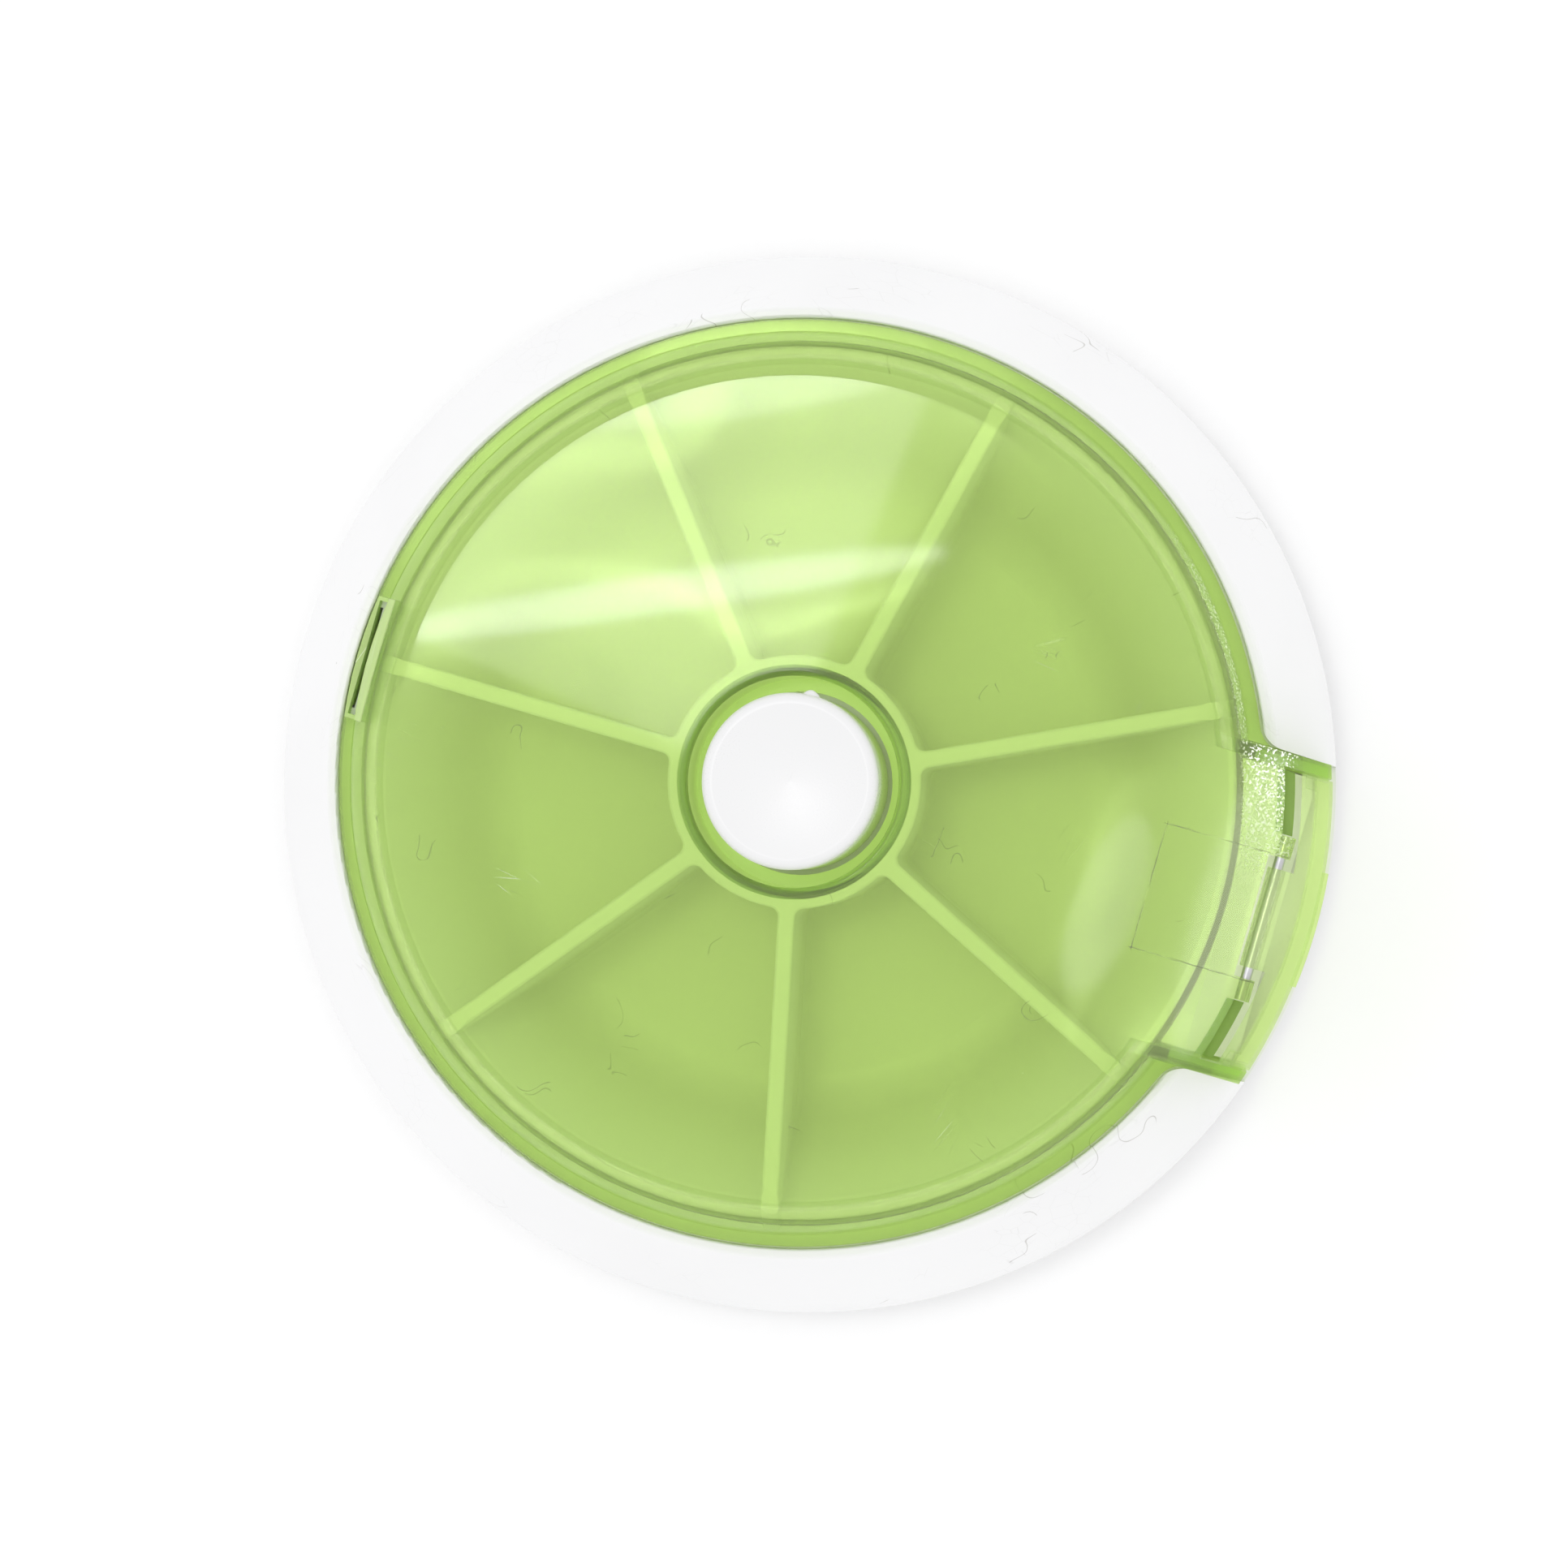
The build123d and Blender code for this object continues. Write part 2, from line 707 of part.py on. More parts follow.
# Screw that holds the leaf
detent_seat = floor_top + leaf_block_h + leaf_t + clip_groove_gap
with BuildPart() as detent_screw:
    with BuildSketch(Plane.XY.offset(detent_seat)):
        with Locations((-leaf_half + leaf_block / 2, leaf_r)):
            Circle(detent_head_r)
    extrude(amount=detent_head_h)
    fillet(detent_screw.edges().group_by(Axis.Z)[-1], detent_head_h / 2)
    with BuildSketch(Plane.XY.offset(detent_seat)):
        with Locations((-leaf_half + leaf_block / 2, leaf_r)):
            Circle(detent_screw_r)
    extrude(amount=-(detent_screw_length + leaf_t - seat_gap))
    with BuildSketch(Plane.XY.offset(detent_seat + detent_head_h)):
        with Locations((-leaf_half + leaf_block / 2, leaf_r)):
            Rectangle(slot_span * detent_head_r, detent_head_h / 2)
    extrude(amount=-detent_head_h / 2, mode=Mode.SUBTRACT)
detent_screw.part.label = "detent_screw"
export_step(detent_screw.part, "parts/detent_screw.step")

# Washer under the rotor
with BuildPart() as thrust_washer:
    with BuildSketch(Plane.XY.offset(floor_top)):
        Circle(rotor_flange_r - slip_gap)
        Circle(post_foot_r + rotor_wall, mode=Mode.SUBTRACT)
    extrude(amount=washer_t)
thrust_washer.part.label = "thrust_washer"
export_step(thrust_washer.part, "parts/thrust_washer.step")

# Rotor: sleeve with helical grooves on a round flange
with BuildPart() as index_rotor:
    with BuildSketch(Plane.XY.offset(rotor_z)):
        Circle(rotor_flange_r)
    extrude(amount=rotor_flange_t)
    with BuildSketch(Plane.XY.offset(rotor_z)):
        Circle(rotor_r)
    extrude(amount=rotor_top - rotor_z)
    with BuildSketch(Plane.XY.offset(pawl_z - slip_gap)):
        with PolarLocations(rotor_r - rotor_key_proud, 2, start_angle=quarter_turn):
            Rectangle(2 * rotor_key_proud, rotor_key_width, align=(Align.MIN, Align.CENTER))
    extrude(amount=pawl_t + slip_gap)
    with BuildSketch(Plane.XY.offset(rotor_z)):
        Circle(rotor_bore_r)
    extrude(amount=rotor_top - rotor_z, mode=Mode.SUBTRACT)
    with BuildSketch(Plane.XY.offset(rotor_z), mode=Mode.PRIVATE) as groove_section:
        with PolarLocations(rotor_bore_r - slip_gap, rib_count):
            Rectangle(groove_r - rotor_bore_r + slip_gap, groove_width, align=(Align.MIN, Align.CENTER))
    for groove_face in groove_section.sketch.faces():
        groove = Solid.extrude_linear_with_rotation(
            groove_face, (0, 0, rotor_z), (0, 0, rotor_top - rotor_z), twist_per_mm * (rotor_top - rotor_z)
        )
        add(groove, mode=Mode.SUBTRACT)
index_rotor.part.label = "index_rotor"
export_step(index_rotor.part, "parts/index_rotor.step")

# Ring with two spring pawls, keyed to the rotor
with BuildPart() as pawl_ring:
    pawl_ring_r = rotor_key_r + rotor_wall
    tip_outer_r = ratchet_root_r - pass_gap
    with BuildSketch(Plane.XY.offset(pawl_z)):
        Circle(pawl_ring_r)
        for side in (0, 180):
            with BuildLine():
                arm_root = polar(pawl_ring_r - rotor_wall / 2, side - pawl_teeth * tooth_angle)
                arm_middle = polar((pawl_ring_r + tip_outer_r - rotor_wall) / 2, side - pawl_bow * tooth_angle)
                arm_end = polar(tip_outer_r - pawl_end_walls * rotor_wall, side - tooth_angle / 4)
                arm = ThreePointArc(arm_root, arm_middle, arm_end)
            trace(arm, line_width=rotor_wall)
            with BuildLine():
                Polyline(
                    polar(tip_outer_r - pawl_tip_walls * rotor_wall, side - tooth_angle / 3),
                    polar(tip_outer_r - pass_gap, side - tooth_angle / 3),
                    polar(tip_outer_r, side - tooth_angle / 30),
                    polar(tip_outer_r - pawl_tip_walls * rotor_wall, side - tooth_angle / 30),
                    close=True,
                )
            make_face()
        Circle(rotor_r + clip_groove_gap, mode=Mode.SUBTRACT)
        with PolarLocations(rotor_r - rotor_key_proud, 2, start_angle=quarter_turn):
            Rectangle(
                2 * rotor_key_proud + seat_gap,
                rotor_key_width + slip_gap,
                align=(Align.MIN, Align.CENTER),
                mode=Mode.SUBTRACT,
            )
    extrude(amount=pawl_t)
pawl_ring.part.label = "pawl_ring"
export_step(pawl_ring.part, "parts/pawl_ring.step")

# Keeper that holds the rotor's flange down, pressed into the collar
with BuildPart() as rotor_keeper:
    with BuildSketch(Plane.XY.offset(keeper_z)):
        Circle(collar_bore_r - clip_groove_gap)
        Circle(rotor_key_r + slip_gap, mode=Mode.SUBTRACT)
    extrude(amount=keeper_t)
    chamfer(rotor_keeper.edges().group_by(Axis.Z)[-1].sort_by(SortBy.RADIUS)[-1], slip_gap)
rotor_keeper.part.label = "rotor_keeper"
export_step(rotor_keeper.part, "parts/rotor_keeper.step")

# Plunger: tube with helical ribs, keyed to the post
with BuildPart() as plunger:
    with BuildSketch(Plane.XY.offset(plunger_z)):
        Circle(plunger_r)
    extrude(amount=plunger_top - plunger_z)
    with BuildSketch(Plane.XY.offset(plunger_z), mode=Mode.PRIVATE) as rib_section:
        with Locations(Rotation(0, 0, twist_per_mm * (plunger_z - rotor_z))):
            with PolarLocations(plunger_r - rib_proud, rib_count):
                Rectangle(2 * rib_proud, rib_width, align=(Align.MIN, Align.CENTER))
    for rib_face in rib_section.sketch.faces():
        rib = Solid.extrude_linear_with_rotation(
            rib_face, (0, 0, plunger_z), (0, 0, rib_h), twist_per_mm * rib_h
        )
        add(rib)
    with BuildSketch(Plane.XY.offset(plunger_collar_top)):
        Circle(plunger_inner_r)
    extrude(amount=plunger_top, mode=Mode.SUBTRACT)
    with BuildSketch(Plane.XY.offset(plunger_z)):
        Circle(post_r + slip_gap)
        with PolarLocations(post_r - key_proud, key_count):
            Rectangle(2 * key_proud + slip_gap, key_width + pass_gap, align=(Align.MIN, Align.CENTER))
    extrude(amount=plunger_collar_h, mode=Mode.SUBTRACT)
plunger.part.label = "plunger"
export_step(plunger.part, "parts/plunger.step")

# Clip in the post's groove, the plunger's upper stop
with BuildPart() as plunger_clip:
    with BuildSketch(Plane.XY.offset(clip_z)):
        Circle(clip_r)
        Circle(post_r - clip_groove_depth + clip_groove_gap, mode=Mode.SUBTRACT)
        with BuildLine():
            Polyline(
                (0, 0),
                polar(2 * clip_r, -clip_opening / 2),
                polar(2 * clip_r, clip_opening / 2),
                close=True,
            )
        make_face(mode=Mode.SUBTRACT)
    extrude(amount=clip_t)
plunger_clip.part.label = "plunger_clip"
export_step(plunger_clip.part, "parts/plunger_clip.step")

# Button: dished cap with a skirt that passes through the cover's well
with BuildPart() as button_cap:
    rim_r = button_r - button_rim_width
    with BuildSketch(Plane.XZ):
        with BuildLine():
            dish = SagittaArc((0, button_top - button_dish), (rim_r, button_top), -button_dish / 6)
            Polyline(dish @ 1, (button_r - button_rim_round, button_top))
            RadiusArc(
                (button_r - button_rim_round, button_top),
                (button_r, button_top - button_rim_round),
                button_rim_round,
            )
            Polyline(
                (button_r, button_top - button_rim_round),
                (button_r, button_flange_top),
                (button_flange_r, button_flange_top),
                (button_flange_r, button_flange_top - button_flange_t),
                (button_inner_r, button_flange_top - button_flange_t),
                (button_inner_r, button_ceiling),
                (plunger_r + socket_wall, button_ceiling),
                (plunger_r + socket_wall, button_ceiling - socket_depth),
                (plunger_r + clip_groove_gap, button_ceiling - socket_depth),
                (plunger_r + clip_groove_gap, button_ceiling),
                (spigot_r, button_ceiling),
                (spigot_r, button_ceiling - spigot_h),
                (0, button_ceiling - spigot_h),
                (0, button_top - button_dish),
            )
        make_face()
    revolve(axis=Axis.Z)
button_cap.part.label = "button_cap"
export_step(button_cap.part, "parts/button_cap.step")

# Return spring: biarcs through quarter turns of a helix
spring_low = floor_top + post_bore_floor + spring_wire_r + clip_groove_gap
spring_high = button_ceiling - spring_wire_r - clip_groove_gap
spring_lead = (spring_high - spring_low) / spring_turns


def spring_point(turn):
    angle = 2 * pi * turn
    return Vector(spring_r * cos(angle), spring_r * sin(angle), spring_low + spring_lead * turn)


def spring_heading(turn):
    angle = 2 * pi * turn
    return Vector(-spring_r * sin(angle), spring_r * cos(angle), spring_lead / (2 * pi)).normalized()


with BuildPart() as return_spring:
    with BuildLine() as coil:
        for quarter in range(4 * spring_turns):
            start, end = spring_point(quarter / 4), spring_point((quarter + 1) / 4)
            heading, leaving = spring_heading(quarter / 4), spring_heading((quarter + 1) / 4)
            chord = end - start
            both = heading + leaving
            spread = 2 * (1 - heading.dot(leaving))
            reach = (sqrt(chord.dot(both) ** 2 + spread * chord.dot(chord)) - chord.dot(both)) / spread
            middle = (start + end + (heading - leaving) * reach) * 0.5
            first = TangentArc(start, middle, tangent=heading)
            TangentArc(middle, end, tangent=first % 1)
    with BuildSketch(Plane(origin=spring_point(0), z_dir=spring_heading(0))):
        Circle(spring_wire_r)
    sweep(path=coil.wire())
print("spring: least gap between turns", round(spring_lead - 2 * spring_wire_r, 3), "mm")
return_spring.part.label = "return_spring"
export_step(return_spring.part, "parts/return_spring.step")

# Space inside the cover's dome, out to its inner wall
with BuildPart() as dome_space:
    with BuildSketch(Plane.XZ):
        with BuildLine():
            Polyline((inner_dome_r, cover_under), (sleeve_r, cover_under), (sleeve_r, 0), (cover_inner_r, 0))
            Polyline((cover_inner_r, 0), (cover_inner_r, inner_dome_z))
            EllipticalCenterArc(
                (inner_dome_r, inner_dome_z),
                cover_inner_r - inner_dome_r,
                cover_under - inner_dome_z,
                start_angle=0,
                arc_size=quarter_turn,
            )
        make_face()
    revolve(axis=Axis.Z)

# Clear cover: dome with the button's well, and the spout's roof and cheeks
with BuildPart() as cover:
    with BuildSketch(Plane.XZ) as cover_profile:
        with BuildLine():
            Polyline(
                (inner_dome_r, cover_under),
                (sleeve_r, cover_under),
                (sleeve_r, sleeve_bottom),
                (well_hole_r, sleeve_bottom),
                (well_hole_r, well_floor),
                (well_r, well_floor),
                (well_r, cover_top),
                (dome_r, cover_top),
            )
            EllipticalCenterArc(
                (dome_r, foot_top), shoulder_run, cover_top - foot_top, start_angle=0, arc_size=quarter_turn
            )
            Polyline(
                (cover_edge_r, foot_top),
                (cover_r, foot_top),
                (cover_r, foot_bottom),
                (cover_inner_r, foot_bottom),
                (cover_inner_r, inner_dome_z),
            )
            EllipticalCenterArc(
                (inner_dome_r, inner_dome_z),
                cover_inner_r - inner_dome_r,
                cover_under - inner_dome_z,
                start_angle=0,
                arc_size=quarter_turn,
            )
        make_face()
        fillet(cover_profile.vertices().sort_by_distance((well_r, cover_top, 0))[0], well_rim_round)
    revolve(axis=Axis.Z)
    # Spout: a block out to the case's edge, then its roof line and mouth cut out
    with BuildSketch(Plane.XY.offset(door_bottom)):
        Circle(spout_r)
        Rectangle(2 * spout_half, case_r, align=(Align.CENTER, Align.MAX), mode=Mode.INTERSECT)
        Circle(dome_r - shoulder_run, mode=Mode.SUBTRACT)
    extrude(amount=cover_top - door_bottom)
    with BuildSketch(Plane.XY.offset(foot_bottom)) as foot_outline:
        Circle(spout_r)
        Rectangle(2 * spout_half, case_r, align=(Align.CENTER, Align.MAX), mode=Mode.INTERSECT)
        Circle(cover_r)
        foot_corners = foot_outline.vertices().filter_by_position(Axis.Y, -cover_r, -dome_r)
        fillet(foot_corners, corner_round)
        Circle(cover_inner_r, mode=Mode.SUBTRACT)
    extrude(amount=cover_foot_h)
    add(dome_space.part, mode=Mode.SUBTRACT)
    with BuildSketch(Plane.XY):
        with Locations((0, -dome_r + shoulder_run)):
            Rectangle(2 * mouth_half, case_r, align=(Align.CENTER, Align.MAX))
    extrude(amount=cover_under, mode=Mode.SUBTRACT)
    with BuildSketch(Plane.XY):
        Rectangle(2 * mouth_half, 2 * case_r, align=(Align.CENTER, Align.MAX))
        Circle(roof_r, mode=Mode.SUBTRACT)
    extrude(amount=button_top, mode=Mode.SUBTRACT)
    # Notch in the roof's edge and the two bosses that carry the hinge pin
    with BuildSketch(Plane.XY.offset(cover_under - cover_wall)):
        with Locations((0, roof_notch_y)):
            Rectangle(2 * roof_notch_half, case_wall, align=(Align.CENTER, Align.MAX))
    extrude(amount=button_top, mode=Mode.SUBTRACT)
    for side in (-1, 1):
        with BuildSketch(Plane.YZ.offset(side * (roof_notch_half + pin_boss_w / 2))):
            with Locations((hinge_y, hinge_z)):
                Circle(knuckle_r)
            with Locations((hinge_y, hinge_z - knuckle_r)):
                Rectangle(2 * knuckle_r, knuckle_r, align=(Align.MIN, Align.MIN))
        extrude(amount=pin_boss_w / 2, both=True)
    with BuildSketch(Plane.YZ):
        with Locations((hinge_y, hinge_z)):
            Circle(pin_r + clip_groove_gap)
    extrude(amount=roof_notch_half + pin_boss_w, both=True, mode=Mode.SUBTRACT)
    # Rear slot, with the tongue and barb that hook under the ring's ledge
    with BuildSketch(Plane.XY.offset(foot_bottom)):
        with Locations((0, slot_y)):
            Rectangle(2 * slot_half, slot_t)
    extrude(amount=cover_foot_h + cover_edge_wall, mode=Mode.SUBTRACT)
    tongue_y = slot_y + slot_t / 2
    with BuildSketch(Plane.XY.offset(foot_bottom + seat_gap)):
        with Locations((0, tongue_y)):
            Rectangle(2 * tongue_half, case_wall, align=(Align.CENTER, Align.MIN))
        Circle(cover_r - seat_gap, mode=Mode.INTERSECT)
    extrude(amount=-(tongue_drop + seat_gap))
    with BuildSketch(Plane.XY.offset(foot_bottom - tongue_drop)):
        with Locations((0, tongue_y)):
            Rectangle(2 * tongue_half, barb_depth, align=(Align.CENTER, Align.MAX))
    extrude(amount=barb_h)
cover.part.label = "cover"
export_step(cover.part, "parts/cover.step")

# Pin of the spout door
with BuildPart() as door_hinge_pin:
    with BuildSketch(Plane.YZ):
        with Locations((hinge_y, hinge_z)):
            Circle(pin_r)
    extrude(amount=roof_notch_half + pin_boss_w, both=True)
door_hinge_pin.part.label = "door_hinge_pin"
export_step(door_hinge_pin.part, "parts/door_hinge_pin.step")

# Spout door: curved wall, top flange, hinge lug, end gussets and finger lip
with BuildPart() as spout_door:
    with BuildSketch(Plane.XY.offset(door_bottom)) as wall_outline:
        Circle(door_r)
        Circle(door_r - door_wall, mode=Mode.SUBTRACT)
        Rectangle(2 * door_half, case_r, align=(Align.CENTER, Align.MAX), mode=Mode.INTERSECT)
    extrude(amount=door_top - door_bottom)
    with BuildSketch(Plane.XY.offset(door_top - flange_t)):
        Circle(door_r)
        Circle(flange_r, mode=Mode.SUBTRACT)
        Rectangle(2 * door_half, case_r, align=(Align.CENTER, Align.MAX), mode=Mode.INTERSECT)
    extrude(amount=flange_t)
    with BuildSketch(Plane.XY.offset(door_top - flange_t - gusset_h)):
        Circle(door_r - door_wall / 2)
        Circle(door_r - door_wall - gusset_depth, mode=Mode.SUBTRACT)
        Rectangle(2 * door_half, case_r, align=(Align.CENTER, Align.MAX), mode=Mode.INTERSECT)
        Rectangle(2 * (door_half - gusset_t), 2 * case_r, mode=Mode.SUBTRACT)
    extrude(amount=gusset_h)
    with BuildSketch(Plane.XY.offset(door_bottom)):
        Circle(case_r)
        Circle(door_r - door_wall / 2, mode=Mode.SUBTRACT)
        Rectangle(2 * finger_lip_half, 2 * case_r, align=(Align.CENTER, Align.MAX), mode=Mode.INTERSECT)
    extrude(amount=finger_lip_h)
    with BuildSketch(Plane.YZ):
        with Locations((hinge_y, hinge_z)):
            Circle(knuckle_r)
        with Locations((hinge_y, door_top - flange_t)):
            Rectangle(flange_depth, flange_t, align=(Align.MAX, Align.MIN))
    extrude(amount=lug_half, both=True)
    with BuildSketch(Plane.YZ):
        with Locations((hinge_y, hinge_z)):
            Circle(pin_r + seat_gap)
    extrude(amount=lug_half, both=True, mode=Mode.SUBTRACT)
spout_door.part.label = "spout_door"
export_step(spout_door.part, "parts/spout_door.step")
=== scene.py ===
import logging
from dataclasses import dataclass
from enum import Enum
from typing import Any, Dict, List, Optional, Sequence, Tuple, Union

import bpy
import numpy as np
from mathutils import Matrix, Vector


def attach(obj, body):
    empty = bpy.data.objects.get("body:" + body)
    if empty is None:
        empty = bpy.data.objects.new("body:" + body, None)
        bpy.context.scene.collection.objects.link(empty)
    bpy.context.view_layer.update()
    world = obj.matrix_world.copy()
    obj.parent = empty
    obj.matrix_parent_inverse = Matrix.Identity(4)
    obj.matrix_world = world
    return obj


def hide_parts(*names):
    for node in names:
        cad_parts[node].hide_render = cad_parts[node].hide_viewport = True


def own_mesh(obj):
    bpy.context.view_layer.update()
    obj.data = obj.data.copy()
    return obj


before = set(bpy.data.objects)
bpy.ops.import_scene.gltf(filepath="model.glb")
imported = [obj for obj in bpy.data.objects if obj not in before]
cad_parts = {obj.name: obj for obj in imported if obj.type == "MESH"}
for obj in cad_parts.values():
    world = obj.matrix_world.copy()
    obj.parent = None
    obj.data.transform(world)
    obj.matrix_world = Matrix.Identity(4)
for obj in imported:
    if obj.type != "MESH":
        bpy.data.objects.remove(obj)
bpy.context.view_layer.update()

log = logging.getLogger("pill_organizer")
MM = 0.001
Colour = Tuple[float, float, float]
Scales = Tuple[float, float, float]
Span = Tuple[float, float]
Value = Union["Signal", float]

BLACK: Colour = (0.0, 0.0, 0.0)
GRAIN = 5200.0  # fine grain of moulded plastic, in features per metre
FINE_RELIEF = 0.02 * MM  # how high a relief of 1 is on moulded plastic
SCRATCH_EDGE: Span = (0.014, 0.004)  # distances to a cell's border that give 0 and 1 of a scratch
SCRATCH_PATCH = 0.16  # patches of scratches for each cell
SCRATCH_SPREAD: Span = (0.72, 0.8)  # noise that gives 0 and 1 of a patch, before it is widened
HAIR_EDGE: Span = (8e-5, 2e-5)  # squared distances to the noise's middle that give 0 and 1 of a hair
HAIR_PATCH = 0.45  # patches of hairs for each curl
HAIR_SPREAD: Span = (0.74, 0.76)  # as SCRATCH_SPREAD, for hairs
WIDENING = 0.3  # how much a full share lowers a spread


def dimmed(colour: Colour, share: float) -> Colour:
    """A colour times a share."""
    return tuple(share * channel for channel in colour)


class Signal:
    """A number that varies over a surface, wrapped so that Python expressions add Math nodes."""

    def __init__(self, graph: "Graph", socket: bpy.types.NodeSocket) -> None:
        """Wraps one output socket of a graph's node."""
        self.graph = graph
        self.socket = socket

    def _math(self, operation: str, *values: Value) -> "Signal":
        """Adds a Math node.

        Args:
            operation: Blender's name for the operation.
            values: the operands, in the node's order.

        Returns:
            The node's result.
        """
        node = self.graph.node("ShaderNodeMath", {"operation": operation}, dict(enumerate(values)))
        return Signal(self.graph, node.outputs[0])

    def __add__(self, other: Value) -> "Signal":
        """Sum."""
        return self._math("ADD", self, other)

    __radd__ = __add__

    def __sub__(self, other: Value) -> "Signal":
        """Difference."""
        return self._math("SUBTRACT", self, other)

    def __rsub__(self, other: Value) -> "Signal":
        """Difference with the signal last."""
        return self._math("SUBTRACT", other, self)

    def __mul__(self, other: Value) -> "Signal":
        """Product."""
        return self._math("MULTIPLY", self, other)

    __rmul__ = __mul__

    def __pow__(self, other: Value) -> "Signal":
        """Power."""
        return self._math("POWER", self, other)

    def hypot(self, other: "Signal") -> "Signal":
        """Root of the sum of the two squares."""
        return (self * self + other * other) ** 0.5

    def smooth(self, low: float, high: float) -> "Signal":
        """Smooth step: 0 at low and below it, 1 at high and above it.

        Args:
            low: value that gives 0.
            high: value that gives 1; it may be under low, which turns the step round.

        Returns:
            The step as a number from 0 to 1.
        """
        settings = {"interpolation_type": "SMOOTHSTEP", "clamp": True}
        inputs = {"Value": self, "From Min": low, "From Max": high, "To Min": 0.0, "To Max": 1.0}
        return Signal(self.graph, self.graph.node("ShaderNodeMapRange", settings, inputs).outputs[0])

    def step(self, ends_mm: Span) -> "Signal":
        """Smooth step between two places: 0 at the first, 1 at the second."""
        return self.smooth(ends_mm[0] * MM, ends_mm[1] * MM)

    def apart(self, ends_mm: Span) -> "Signal":
        """Smooth step between two distances from the middle plane: 0 at the first, 1 at the second."""
        return (self * self).smooth((ends_mm[0] * MM) ** 2, (ends_mm[1] * MM) ** 2)


class Graph:
    """The node tree of one material, with one method that adds any node."""

    def __init__(self, name: str) -> None:
        """Makes an empty material of that name."""
        self.material = bpy.data.materials.new(name)
        self.material.use_nodes = True
        self.material.cycles.emission_sampling = "NONE"
        self.tree = self.material.node_tree
        self.tree.nodes.clear()
        self.place = self.node("ShaderNodeTexCoord").outputs["Object"]

    def node(
        self,
        kind: str,
        settings: Optional[Dict[str, Any]] = None,
        inputs: Optional[Dict[Union[str, int], Any]] = None,
    ) -> bpy.types.Node:
        """Adds a node: its settings first, then values or links on its sockets.

        Args:
            kind: the node's Blender type.
            settings: attributes of the node.
            inputs: socket name or number to a value, a socket or a Signal.

        Returns:
            The node.
        """
        made = self.tree.nodes.new(kind)
        for name, value in (settings or {}).items():
            setattr(made, name, value)
        for name, value in (inputs or {}).items():
            socket = made.inputs[name]
            if isinstance(value, Signal):
                self.tree.links.new(value.socket, socket)
            elif isinstance(value, bpy.types.NodeSocket):
                self.tree.links.new(value, socket)
            elif isinstance(value, tuple) and len(value) == 3 and socket.type == "RGBA":
                socket.default_value = (*value, 1.0)
            else:
                socket.default_value = value
        return made

    def noise(self, scale: float, detail: float, stretch: Optional[Scales] = None) -> Signal:
        """Fractal noise over the piece.

        Args:
            scale: features per metre.
            detail: octaves.
            stretch: scale of each axis first, for streaks; None keeps them even.

        Returns:
            The noise, about 0.5 on average.
        """
        place = self.place
        if stretch is not None:
            place = self.node("ShaderNodeMapping", {}, {"Vector": place, "Scale": stretch}).outputs[0]
        inputs = {"Vector": place, "Scale": scale, "Detail": detail}
        return Signal(self, self.node("ShaderNodeTexNoise", {}, inputs).outputs["Fac"])

    def patches(self, scale: float, detail: float, spread: Span, share: float) -> Signal:
        """Patches where a noise is high.

        Args:
            scale: patches per metre.
            detail: octaves of the noise.
            spread: noise that gives 0 and 1, for a share of 0.
            share: how much of the surface they cover, from 0 to 1.

        Returns:
            A mask, 1 inside a patch.
        """
        more = WIDENING * share
        return self.noise(scale, detail).smooth(spread[0] - more, spread[1] - more)

    def turned(self, angle: float) -> bpy.types.NodeSocket:
        """The piece's place turned about the vertical axis by an angle in radians."""
        inputs = {"Vector": self.place, "Rotation": (0.0, 0.0, angle)}
        return self.node("ShaderNodeMapping", {}, inputs).outputs[0]

    def axes(self) -> List[Signal]:
        """The piece's x, y and z, in metres."""
        parts = self.node("ShaderNodeSeparateXYZ", {}, {"Vector": self.place}).outputs
        return [Signal(self, part) for part in parts]

    def cells(self, scale: float, feature: str = "F1", place: Optional[Any] = None) -> Signal:
        """Distance to the nearest point of a scattered set, in cells."""
        inputs = {"Vector": place or self.place, "Scale": scale}
        node = self.node("ShaderNodeTexVoronoi", {"feature": feature}, inputs)
        return Signal(self, node.outputs["Distance"])

    def scratches(self, angle: float, scale: float, length: float, share: float) -> Signal:
        """Fine straight scratches: stretched cell borders, kept in patches only.

        Args:
            angle: direction on the plan, in radians.
            scale: cells per metre across the scratches.
            length: how much longer than wide a cell is.
            share: how much of the surface has them, from 0 to 1.

        Returns:
            A mask, 1 in the scratch.
        """
        inputs = {"Vector": self.turned(angle), "Scale": (1.0 / length, 1.0, 1.0)}
        place = self.node("ShaderNodeMapping", {}, inputs).outputs[0]
        line = self.cells(scale, "DISTANCE_TO_EDGE", place).smooth(*SCRATCH_EDGE)
        return line * self.patches(scale * SCRATCH_PATCH, 3.0, SCRATCH_SPREAD, share)

    def lint(self, scale: float, share: float) -> Signal:
        """Short curved hairs: thin level lines of a smooth noise, kept in patches only.

        Args:
            scale: curls per metre.
            share: how much of the surface has them, from 0 to 1.

        Returns:
            A mask, 1 on a hair.
        """
        line = ((self.noise(scale, detail=0.0) - 0.5) ** 2.0).smooth(*HAIR_EDGE)
        return line * self.patches(scale * HAIR_PATCH, 1.0, HAIR_SPREAD, share)

    def blend(self, factor: Value, first: Any, second: Any) -> bpy.types.NodeSocket:
        """Mixes two colours.

        Args:
            factor: 0 gives the first, 1 the second.
            first: a colour or a socket.
            second: a colour or a socket.

        Returns:
            The colour.
        """
        settings = {"data_type": "RGBA", "blend_type": "MIX", "clamp_factor": True}
        return self.node("ShaderNodeMix", settings, {0: factor, 6: first, 7: second}).outputs[2]

